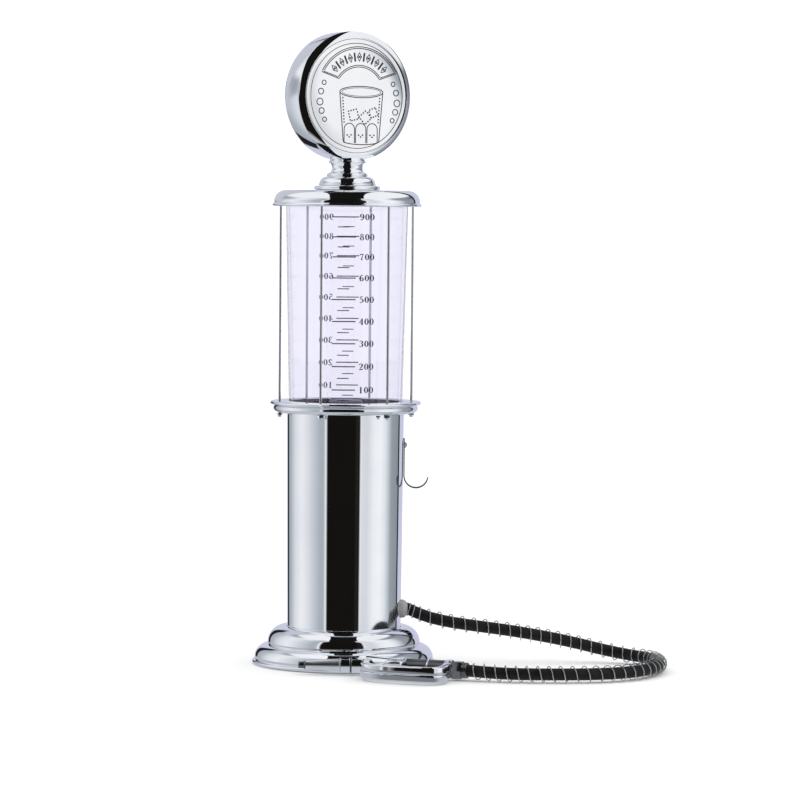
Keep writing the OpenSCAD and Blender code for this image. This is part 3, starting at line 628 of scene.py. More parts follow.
@dataclass
class Mesh:
    """Points and faces of one piece, in millimetres."""

    points: list[Point3] = field(default_factory=list)
    faces: list[Face] = field(default_factory=list)

    def add(self, other: Mesh) -> Mesh:
        """Take in another mesh as a separate shell.

        Args:
            other: The mesh to take in.

        Returns:
            This mesh.
        """
        start = len(self.points)
        self.points += other.points
        self.faces += [tuple(start + i for i in face) for face in other.faces]
        return self

    def moved(self, place: Matrix) -> Mesh:
        """Give a copy moved by a matrix."""
        return Mesh([tuple(place @ Vector(p)) for p in self.points], list(self.faces))

    @staticmethod
    def rings(rings: Sequence[Sequence[Point3]], loop: bool = False) -> Mesh:
        """Skin over rings that have the same number of points.

        Args:
            rings: The rings in order.
            loop: Whether the last ring joins the first. If not, the ends are closed.

        Returns:
            The skin.
        """
        n = len(rings[0])
        mesh = Mesh([tuple(p) for ring in rings for p in ring])
        last = len(rings) if loop else len(rings) - 1
        for i in range(last):
            a, b = i * n, ((i + 1) % len(rings)) * n
            for j in range(n):
                k = (j + 1) % n
                mesh.faces.append((a + j, a + k, b + k, b + j))
        if not loop:
            mesh.faces.append(tuple(range(n - 1, -1, -1)))
            mesh.faces.append(tuple(range((len(rings) - 1) * n, len(rings) * n)))
        return mesh

    @staticmethod
    def lathe(profile: Sequence[Point2], steps: int, place: Matrix | None = None) -> Mesh:
        """Turn a closed profile of radius and height round the Z axis.

        Args:
            profile: Radius and height of each point. One that starts and ends on the axis makes
                a solid without a bore.
            steps: Number of stretches round the axis.
            place: Where the turned piece goes.

        Returns:
            The turned piece.
        """
        mesh = Mesh()
        rows: list[list[int]] = []
        for radius, height in profile:
            start = len(mesh.points)
            if radius < TINY:
                mesh.points.append((0.0, 0.0, height))
                rows.append([start] * steps)
                continue
            for j in range(steps):
                t = 2 * math.pi * j / steps
                mesh.points.append((radius * math.cos(t), radius * math.sin(t), height))
            rows.append(list(range(start, start + steps)))
        open_ends = profile[0][0] < TINY and profile[-1][0] < TINY
        pairs = list(zip(rows, rows[1:])) + ([] if open_ends else [(rows[-1], rows[0])])
        for low, high in pairs:
            for j in range(steps):
                k = (j + 1) % steps
                corners = (low[j], low[k], high[k], high[j])
                face = tuple(dict.fromkeys(corners))
                if len(face) > 2:
                    mesh.faces.append(face)
        return mesh.moved(place) if place else mesh

    @staticmethod
    def tube(line: Sequence[Vector], radius: float | Sequence[float], sides: int) -> Mesh:
        """Round bar along a line.

        Args:
            line: The middle line.
            radius: Radius, or one for each point of the line.
            sides: Number of sides.

        Returns:
            The closed bar.
        """
        rings: list[list[Point3]] = []
        side = Vector((0, 0, 1))
        radii = [radius] * len(line) if isinstance(radius, (int, float)) else radius
        turns = [2 * math.pi * j / sides for j in range(sides)]
        for (here, ahead), r in zip(walked(line), radii):
            if abs(ahead.dot(side)) > 0.99:
                side = Vector((0, 1, 0))
            side = (side - ahead * ahead.dot(side)).normalized()
            across = ahead.cross(side)
            rings.append(
                [tuple(here + r * (math.cos(t) * side + math.sin(t) * across)) for t in turns]
            )
        return Mesh.rings(rings)

    @staticmethod
    def bar(line: Sequence[Vector], section: Sequence[Point2], last: float = 1.0) -> Mesh:
        """Bar of any section along a level line.

        Args:
            line: The middle line, in two dimensions.
            section: The section, across the line and in height.
            last: Scale of the section at the line's last point.

        Returns:
            The closed bar.
        """
        rings: list[list[Point3]] = []
        for i, (here, run) in enumerate(walked(line)):
            out = Vector((-run.y, run.x))
            scale = last if i == len(line) - 1 else 1.0
            rings.append(
                [
                    (here.x + out.x * a * scale, here.y + out.y * a * scale, b * scale)
                    for a, b in section
                ]
            )
        return Mesh.rings(rings)

    @staticmethod
    def prism(outline: Sequence[Point2], low: float, high: float, edge: float) -> Mesh:
        """Flat plate with softened rims.

        Args:
            outline: Its outline.
            low: Height of its underside.
            high: Height of its top.
            edge: Width of the softened rim.

        Returns:
            The plate.
        """
        soft = 0.3 * edge
        levels = [
            (low, edge), (low + soft, soft), (low + edge, 0.0),
            (high - edge, 0.0), (high - soft, soft), (high, edge),
        ]
        return Mesh.rings(
            [[(x, y, height) for x, y in shrunk(outline, inset)] for height, inset in levels]
        )


def shrunk(outline: Sequence[Point2], inset: float) -> list[Point2]:
    """Draw an outline in by a distance.

    Args:
        outline: An outline that runs anticlockwise.
        inset: The distance.

    Returns:
        The smaller outline.
    """
    result: list[Point2] = []
    count = len(outline)
    for i, (x, y) in enumerate(outline):
        back, ahead = Vector(outline[i - 1]), Vector(outline[(i + 1) % count])
        run = (ahead - back).normalized()
        result.append((x - run.y * inset, y + run.x * inset))
    return result


def ribbon(
    points: Sequence[tuple[float, float, float]], place: Placer, thick: float, loop: bool = False
) -> Mesh:
    """Thin raised line on a surface.

    Args:
        points: Two surface coordinates and the half width at each point.
        place: Turns surface coordinates and a height into a point in space.
        thick: Height of the line above the surface.
        loop: Whether the line closes on itself.

    Returns:
        The line as a thin closed strip.
    """
    rings: list[list[Point3]] = []
    count = len(points)
    for i, (x, y, half) in enumerate(points):
        a = points[(i - 1) % count if loop else max(i - 1, 0)]
        b = points[(i + 1) % count if loop else min(i + 1, count - 1)]
        run = Vector((b[0] - a[0], b[1] - a[1])).normalized()
        side = Vector((-run.y, run.x)) * half
        corners = ((1, 0.0), (-1, 0.0), (-1, thick), (1, thick))
        rings.append([place(x + way * side.x, y + way * side.y, lift) for way, lift in corners])
    return Mesh.rings(rings, loop=loop)


def shade_smooth(data: bpy.types.Mesh, sharp: float, outward: bool = False) -> None:
    """Shade a mesh smoothly, apart from its sharp edges.

    Args:
        data: The mesh.
        sharp: Angle in degrees above which an edge stays sharp.
        outward: Whether its faces are turned outwards first.
    """
    work = bmesh.new()
    work.from_mesh(data)
    if outward:
        bmesh.ops.recalc_face_normals(work, faces=work.faces)
    for face in work.faces:
        face.smooth = True
    limit = math.radians(sharp)
    for edge in work.edges:
        edge.smooth = len(edge.link_faces) == 2 and edge.calc_face_angle(0.0) < limit
    work.to_mesh(data)
    work.free()


def make_piece(
    name: str,
    mesh: Mesh,
    finish: Finish,
    body: Body | None,
    replaces: Iterable[str] = (),
    sharp: float = SHARP_EDGE,
) -> bpy.types.Object:
    """Make a piece of the model from a mesh.

    Args:
        name: Name of the piece.
        mesh: Its points and faces, in millimetres.
        finish: Its finish.
        body: The body that it rides on, or None to leave it unattached.
        replaces: CAD nodes that it stands for.
        sharp: Angle in degrees above which an edge stays sharp.

    Returns:
        The new object.
    """
    data = bpy.data.meshes.new(name)
    data.from_pydata([tuple(c * MM for c in p) for p in mesh.points], [], mesh.faces)
    shade_smooth(data, sharp, outward=True)
    data.materials.append(finish.material())
    made = bpy.data.objects.new(name, data)
    bpy.context.scene.collection.objects.link(made)
    nodes = list(replaces)
    if nodes:
        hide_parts(*nodes)
    if body is not None:
        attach(made, body.value)
    LOG.info("piece %s: %d points, %d faces", name, len(mesh.points), len(mesh.faces))
    return made


# ---- Studio


@dataclass
class Viewpoint:
    """The camera.

    Attributes:
        eye: Where it stands, in metres.
        target: What it looks at, in metres.
        lens: Focal length in millimetres on a 36 mm sensor.
        roll: Lean of the camera round its own axis, in degrees.
    """

    eye: Point3 = (0.0418, -2.9, 0.345)
    target: Point3 = (0.0418, 0.0, 0.2035)
    lens: float = 170.0
    roll: float = 0.48

    def build(self) -> bpy.types.Object:
        """Make the camera and use it.

        Returns:
            The camera.
        """
        data = bpy.data.cameras.new("dispenser_camera")
        data.lens = self.lens
        data.sensor_width = 36.0
        data.clip_start, data.clip_end = 0.01, 50.0
        made = bpy.data.objects.new("dispenser_camera", data)
        bpy.context.scene.collection.objects.link(made)
        aim = (Vector(self.target) - Vector(self.eye)).to_track_quat("-Z", "Y").to_matrix()
        made.matrix_world = (
            Matrix.Translation(self.eye)
            @ aim.to_4x4()
            @ Matrix.Rotation(math.radians(self.roll), 4, "Z")
        )
        bpy.context.scene.camera = made
        return made


@dataclass
class Studio:
    """White floor, even white surroundings and a small tent that only reflections see.

    Attributes:
        tent_r: Radius of the tent in metres.
        tent_low: Height of its lowest ring.
        wall_top: Height at which its walls turn into the dome.
        horizon: Height at which its walls turn into the reflected table.
        edge_y: Distance behind the object at which the cool backdrop starts.
        edge_x: Distance to the left at which it ends.
        edge_w: Width of the dark gap in front of the backdrop.
        overhead_half: Half width of the dark strip overhead, and how it narrows towards the back.
        floor_half: Half width of the floor.
        floor_tone: Brightness of the floor.
        around: Strength of the surroundings.
        black: Colour of the dark strip overhead.
        pale: Colour of the panels beside it.
        gap: Colour of the dark gap.
        backdrop: Colour of the backdrop.
        rear_panel: Colour of a panel high at the left rear.
        table: Colours of the reflected table at the front, at the sides and close by.
        tones: Angle from the front towards +X in degrees, and the wall's colour there.
    """

    tent_r: float = 0.5
    tent_low: float = -0.2
    wall_top: float = 0.5
    horizon: float = -0.035
    edge_y: float = 0.30
    edge_x: float = 0.30
    edge_w: float = 0.034
    overhead_half: Point2 = (0.185, 0.10)
    floor_half: float = 6.0
    floor_tone: float = 0.955
    around: float = 1.2
    black: Colour = (0.008, 0.008, 0.008)
    pale: Colour = (0.97, 0.97, 0.98)
    gap: Colour = (0.015, 0.015, 0.02)
    backdrop: Colour = (0.62, 0.63, 0.77)
    rear_panel: Colour = (0.60, 0.62, 0.68)
    table: tuple[Colour, Colour, Colour] = (
        (0.21, 0.215, 0.23), (0.50, 0.52, 0.56), (0.56, 0.58, 0.62),
    )
    tones: tuple[tuple[float, Colour], ...] = (
        (-180, (0.02, 0.02, 0.022)), (-160, (0.02, 0.02, 0.022)), (-154, (0.36, 0.38, 0.42)),
        (-130, (0.46, 0.49, 0.53)), (-112, (0.76, 0.78, 0.82)), (-92, (0.93, 0.93, 0.95)),
        (-76, (0.80, 0.81, 0.84)), (-62, (0.62, 0.65, 0.69)), (-48, (0.45, 0.48, 0.52)),
        (-40, (0.44, 0.47, 0.50)), (-36.5, (0.85, 0.86, 0.88)), (-35.2, (0.85, 0.86, 0.88)),
        (-33.2, (0.008, 0.007, 0.006)), (19, (0.008, 0.007, 0.006)), (24, (0.02, 0.018, 0.016)),
        (29.0, (0.008, 0.007, 0.006)), (30.0, (0.95, 0.95, 0.96)), (33.0, (0.76, 0.77, 0.79)),
        (44, (0.74, 0.75, 0.78)), (58, (0.95, 0.95, 0.97)), (72, (1.0, 1.0, 1.0)),
        (84, (0.85, 0.87, 0.90)), (93, (0.60, 0.64, 0.68)), (102, (0.34, 0.37, 0.40)),
        (118, (0.30, 0.32, 0.35)), (150, (0.24, 0.26, 0.29)), (178, (0.02, 0.02, 0.022)),
    )

    def build(self) -> None:
        """Make the floor, the surroundings and the tent."""
        self.build_floor()
        self.build_surroundings()
        self.build_tent()
        bpy.context.scene.view_settings.view_transform = "Standard"

    @staticmethod
    def put_up(name: str, shape: Mesh, paint: str) -> tuple[bpy.types.Object, bpy.types.Material]:
        """Put up one part of the studio, with an empty paint on it.

        Args:
            name: Name of the part.
            shape: Its points and faces, in metres.
            paint: Name of its material.

        Returns:
            The part and its material.
        """
        data = bpy.data.meshes.new(name)
        data.from_pydata(shape.points, [], shape.faces)
        made = bpy.data.objects.new(name, data)
        bpy.context.scene.collection.objects.link(made)
        coat = bpy.data.materials.new(paint)
        coat.use_nodes = True
        data.materials.append(coat)
        return made, coat

    def build_floor(self) -> None:
        """Lay a large matt floor that reflections don't see."""
        half = self.floor_half
        corners = [(-half, -half, 0), (half, -half, 0), (half, half, 0), (-half, half, 0)]
        floor, paint = self.put_up("studio_floor", Mesh(corners, [(0, 1, 2, 3)]), "studio_floor_white")
        sheet = ShaderSheet(paint.node_tree)
        out = sheet.node("ShaderNodeOutputMaterial")
        matt = sheet.node("ShaderNodeBsdfDiffuse", _Color=(*[self.floor_tone] * 3, 1.0))
        sheet.link(matt.outputs["BSDF"], out.inputs["Surface"])
        floor.visible_glossy = False

    def build_surroundings(self) -> None:
        """Light everything evenly from all round."""
        world = bpy.data.worlds.new("studio_white")
        bpy.context.scene.world = world
        world.use_nodes = True
        sheet = ShaderSheet(world.node_tree)
        out = sheet.node("ShaderNodeOutputWorld")
        light = sheet.node("ShaderNodeBackground", _Color=(1.0, 1.0, 1.0, 1.0))
        light.inputs["Strength"].default_value = self.around
        sheet.link(light.outputs["Background"], out.inputs["Surface"])
        world.cycles.sampling_method = "NONE"

    def build_tent(self) -> None:
        """Set up the tent of soft panels with a dark gap at the front and overhead."""
        around, rows, low, r = 96, 24, self.tent_low, self.tent_r
        profile = [(0.0, low)]
        profile += [(r, low + (self.wall_top - low) * i / rows) for i in range(rows + 1)]
        profile += arc((0.0, self.wall_top), r, 0, 90, rows)[1:-1]
        profile.append((0.0, self.wall_top + r))
        tent, glow = self.put_up("studio_tent", Mesh.lathe(profile, around), "studio_tent_glow")
        for part in ("camera", "diffuse", "transmission", "volume_scatter", "shadow"):
            setattr(tent, f"visible_{part}", False)
        self.paint_tent(ShaderSheet(glow.node_tree))
        glow.cycles.emission_sampling = "NONE"

    def paint_tent(self, sheet: ShaderSheet) -> None:
        """Paint the panels by their place on the tent.

        Args:
            sheet: The tent's node tree.
        """
        out = sheet.node("ShaderNodeOutputMaterial")
        where = sheet.node("ShaderNodeTexCoord")
        parts = sheet.node("ShaderNodeSeparateXYZ")
        sheet.link(where.outputs["Object"], parts.inputs["Vector"])
        place = x, y, z = tuple(parts.outputs[axis] for axis in "XYZ")
        turn = sheet.sum_up("ARCTAN2", x, sheet.sum_up("MULTIPLY", y, -1.0))
        widen = sheet.between(z, (0.40, 0.52), (1.0, 1.3), True)
        turn = sheet.sum_up("MULTIPLY", turn, widen)
        dome = sheet.between(z, (0.56, 0.64), (0.0, 1.0), True)
        walls = sheet.mixed(dome, self.wall_tones(sheet, turn), self.overhead(sheet, place))
        walls = self.with_backdrop(sheet, walls, place)
        walls = self.with_rear_panel(sheet, walls, place)
        low = sheet.between(z, (self.horizon - 0.004, self.horizon + 0.004), (1.0, 0.0), True)
        seen = sheet.mixed(low, walls, self.table_tones(sheet, turn, z))
        light = sheet.node("ShaderNodeEmission", _Strength=1.0)
        sheet.link(seen, light.inputs["Color"])
        sheet.link(light.outputs["Emission"], out.inputs["Surface"])

    def wall_tones(self, sheet: ShaderSheet, turn: Socket) -> Socket:
        """Colour the walls round the object.

        Args:
            sheet: The tent's node tree.
            turn: Angle from the front, in radians.

        Returns:
            The walls' colour.
        """
        ramp = sheet.node("ShaderNodeValToRGB")
        stops = ramp.color_ramp.elements
        while len(stops) > 1:
            stops.remove(stops[-1])
        for i, (angle, tone) in enumerate(self.tones):
            share = (angle + 180) / 360
            stop = stops.new(share) if i else stops[0]
            stop.position = share
            stop.color = (*tone, 1.0)
        sheet.link(sheet.between(turn, (-math.pi, math.pi), (0.0, 1.0)), ramp.inputs["Fac"])
        return ramp.outputs["Color"]

    def overhead(self, sheet: ShaderSheet, place: Place) -> Socket:
        """Colour the dome: a dark strip from front to back between pale panels.

        Args:
            sheet: The tent's node tree.
            place: Distances to the right, to the back and up.

        Returns:
            The dome's colour.
        """
        half, taper = self.overhead_half
        wide = sheet.sum_up("SUBTRACT", half, sheet.sum_up("MULTIPLY", place[1], taper))
        off = sheet.sum_up("SUBTRACT", sheet.sum_up("ABSOLUTE", place[0]), wide)
        beside = sheet.between(off, (-0.006, 0.006), (0.0, 1.0), True)
        return sheet.mixed(beside, self.black, self.pale)

    def with_backdrop(self, sheet: ShaderSheet, walls: Socket, place: Place) -> Socket:
        """Hang the cool backdrop behind the object, with a dark gap in front of it.

        Args:
            sheet: The tent's node tree.
            walls: Colour of the walls.
            place: Distances to the right, to the back and up.

        Returns:
            The walls' colour with the backdrop.
        """
        x, y, z = place
        above = sheet.sum_up("MAXIMUM", sheet.sum_up("SUBTRACT", z, 0.45), 0.0)
        climb = sheet.sum_up("MULTIPLY", above, 0.15)
        behind = sheet.sum_up("SUBTRACT", sheet.sum_up("SUBTRACT", y, self.edge_y), climb)
        left = sheet.sum_up("MULTIPLY", sheet.sum_up("ADD", x, self.edge_x), 0.42)
        past = sheet.sum_up("MINIMUM", behind, left)
        gap_w = sheet.sum_up("ADD", self.edge_w, sheet.sum_up("MULTIPLY", climb, 0.8))
        inside = sheet.between(sheet.sum_up("SUBTRACT", past, gap_w), (0.0, 0.01), (0.0, 1.0), True)
        border = sheet.mixed(inside, self.gap, self.backdrop)
        return sheet.mixed(sheet.between(past, (-0.006, 0.0), (0.0, 1.0), True), walls, border)

    def with_rear_panel(self, sheet: ShaderSheet, walls: Socket, place: Place) -> Socket:
        """Hang a pale panel high at the left rear.

        Args:
            sheet: The tent's node tree.
            walls: Colour of the walls.
            place: Distances to the right, to the back and up.

        Returns:
            The walls' colour with the panel.
        """
        x, y, z = place
        high = sheet.between(z, (0.30, 0.40), (0.0, 1.0), True)
        left = sheet.between(x, (-0.17, -0.13), (1.0, 0.0), True)
        behind = sheet.between(y, (0.20, 0.30), (0.0, 1.0), True)
        lit = sheet.sum_up("MULTIPLY", sheet.sum_up("MULTIPLY", high, left), behind)
        return sheet.mixed(lit, walls, self.rear_panel)

    def table_tones(self, sheet: ShaderSheet, turn: Socket, z: Socket) -> Socket:
        """Colour the table as reflections see it.

        Args:
            sheet: The tent's node tree.
            turn: Angle from the front, in radians.
            z: Height.

        Returns:
            The table's colour.
        """
        front, sides, close = self.table
        aside = sheet.between(sheet.sum_up("ABSOLUTE", turn), (0.5, 1.2), (0.0, 1.0), True)
        table = sheet.mixed(aside, front, sides)
        return sheet.mixed(sheet.between(z, (-0.19, -0.07), (1.0, 0.0), True), table, close)


# ---- Pump


@dataclass
class Base:
    """Stepped round base: a thin lip and two rounded beads.

    Attributes:
        lip_r: Radius of the lip.
        lip_low: Height of the lip's underside.
        lip_high: Height of its top.
        neck_r: Radius just above the lip.
        waist: Height at which the lower bead starts.
        lower: Radius and height of the lower bead's centre.
        lower_r: Rounding of the lower bead.
        upper: Radius and height of the upper bead's centre.
        upper_r: Rounding of the upper bead.
        bore_r: Radius of the bore round the column.
        ledge: Height of the ledge that the column stands on.
        ledge_r: Inner radius of the ledge.
        web_low: Height of the ledge's underside.
        web_r: Radius at which the underside starts to slope.
        skirt: Inner radius of the outer wall, and the height where the slope meets it.
        crown: Height of the bore's upper edge.
        crown_soft: Width of the softened edge.
    """

    lip_r: float = 70.6
    lip_low: float = 0.8
    lip_high: float = 3.5
    neck_r: float = 67.5
    waist: float = 3.9
    lower: Point2 = (59.0, 5.7)
    lower_r: float = 9.5
    upper: Point2 = (46.2, 17.1)
    upper_r: float = 12.3
    bore_r: float = 43.93
    ledge: float = 15.4
    ledge_r: float = 38.0
    web_low: float = 12.6
    web_r: float = 57.0
    skirt: Point2 = (66.2, 7.2)
    crown: float = 29.36
    crown_soft: Point2 = (0.5, 0.46)

    def build(self) -> None:
        """Turn the shell."""
        low_turn, high_turn = crossing_angles(self.lower, self.lower_r, self.upper, self.upper_r)
        start = -math.degrees(math.asin((self.lower[1] - self.waist) / self.lower_r))
        round_r = (self.lip_high - self.lip_low) / 2
        middle = (self.lip_high + self.lip_low) / 2
        profile = [(self.bore_r, self.ledge), (self.ledge_r, self.ledge), (self.ledge_r, self.web_low)]
        profile += [(self.web_r, self.web_low), self.skirt, (self.skirt[0], self.lip_low)]
        profile += arc((self.lip_r - round_r, middle), round_r, -90, 90, 14)
        profile += [(self.neck_r, self.lip_high), (self.neck_r, self.waist)]
        profile += arc(self.lower, self.lower_r, start, low_turn - 1.2, 30)
        profile += arc(self.upper, self.upper_r, high_turn + 1.0, 92, 34)
        profile += [(self.bore_r + self.crown_soft[0], self.crown)]
        profile += [(self.bore_r, self.crown - self.crown_soft[1])]
        shell = Mesh.lathe(profile, FINE_STEPS)
        make_piece("base_shell_plated", shell, PLATE, Body.PUMP, ["base_shell"])


@dataclass
class Column:
    """Slightly tapered tube that stands in the base."""

    foot_r: float = 43.6
    head_r: float = 44.9
    low: float = 15.4
    high: float = 193.5
    wall: float = 1.5
    rows: int = 24

    def build(self) -> None:
        """Turn the tube."""
        rise, spread = self.high - self.low, self.head_r - self.foot_r
        outer = [
            (self.foot_r + spread * i / self.rows, self.low + rise * i / self.rows)
            for i in range(self.rows + 1)
        ]
        profile = outer + [(r - self.wall, z) for r, z in reversed(outer)]
        tube = Mesh.lathe(profile, FINE_STEPS)
        make_piece("column_tube_plated", tube, PLATE, Body.PUMP, ["column_shell"])


@dataclass
class Collar:
    """Ring between column and tank, with the nuts of the tie rods under it.

    Attributes:
        body_r: Radius of the ring's bead.
        lip_r: Radius of the thin lip above it.
        low: Height of the ring's underside.
        high: Height of its top.
        lip_t: Thickness of the lip.
        round_r: Rounding of the bead.
        bead_rise: Height of the bead's middle above the underside.
        bore_r: Radius of the bore round the tank.
        bore_soft: Width of the bore's softened edge.
        seat: Height of the seat under the tank.
        spigot: Inner and outer radius of the spigot in the column.
        spigot_low: Height of the spigot's end.
        rod_circle: Radius on which the tie rods stand.
        rod_first: Angle of the first rod from the front, in degrees.
        rod_count: Number of rods.
        nut_r: Corner radius of a nut.
        nut_h: Height of its hexagon.
        dome_r: Radius of its dome.
    """

    body_r: float = 55.6
    lip_r: float = 58.0
    low: float = 193.5
    high: float = 202.5
    lip_t: float = 2.5
    round_r: float = 3.2
    bead_rise: float = 3.8
    bore_r: float = 44.2
    bore_soft: float = 0.3
    seat: float = 194.8
    spigot: Point2 = (40.9, 43.2)
    spigot_low: float = 184.1
    rod_circle: float = 51.1
    rod_first: float = -21.0
    rod_count: int = 6
    nut_r: float = 2.4
    nut_h: float = 1.9
    dome_r: float = 1.6

    def build(self) -> None:
        """Turn the ring and set its nuts."""
        ring_r = self.body_r - self.round_r
        under = self.high - self.lip_t
        lip_soft = self.lip_t / 2
        bead = (ring_r, self.low + self.bead_rise)
        stop = math.degrees(math.asin((under - bead[1]) / self.round_r))
        inner, outer = self.spigot
        profile = [(outer, self.spigot_low), (outer, self.low), (ring_r - 1.2, self.low)]
        profile += arc(bead, self.round_r, -82, stop, 18)
        profile += [(self.lip_r - lip_soft, under)]
        profile += arc((self.lip_r - lip_soft, under + lip_soft), lip_soft, -80, 90, 12)
        profile += [(self.bore_r + self.bore_soft, self.high)]
        profile += [(self.bore_r, self.high - self.bore_soft), (self.bore_r, self.seat)]
        profile += [(inner, self.seat), (inner, self.spigot_low)]
        ring = Mesh.lathe(profile, FINE_STEPS)
        make_piece("collar_ring_plated", ring, PLATE, Body.PUMP, ["collar_ring"])
        nuts = Mesh()
        for i in range(self.rod_count):
            nuts.add(self.acorn_nut().moved(self.nut_place(i)))
        make_piece("rod_nuts_domed", nuts, NUT_STEEL, Body.PUMP, ["rod_nuts"])

    def nut_place(self, index: int) -> Matrix:
        """Find a nut's place under the ring.

        Args:
            index: Number of its rod.

        Returns:
            The place.
        """
        turn = math.radians(self.rod_first - 90 + 360 * index / self.rod_count)
        out = Matrix.Translation((self.rod_circle, 0.0, self.low - self.nut_h))
        return Matrix.Rotation(turn, 4, "Z") @ out

    def acorn_nut(self) -> Mesh:
        """Make a hexagon nut with chamfered corners and a dome below it.

        Returns:
            The nut, its flat top at the height of the hexagon.
        """
        nut = Mesh.prism(hexagon(self.nut_r), 0.0, self.nut_h, 0.22)
        dome = [(0.0, -1.8)] + arc((0.0, -0.2), self.dome_r, -80, 0, 8)
        dome += [(self.dome_r, 0.1), (0.0, 0.1)]
        return nut.add(Mesh.lathe(dome, 24))


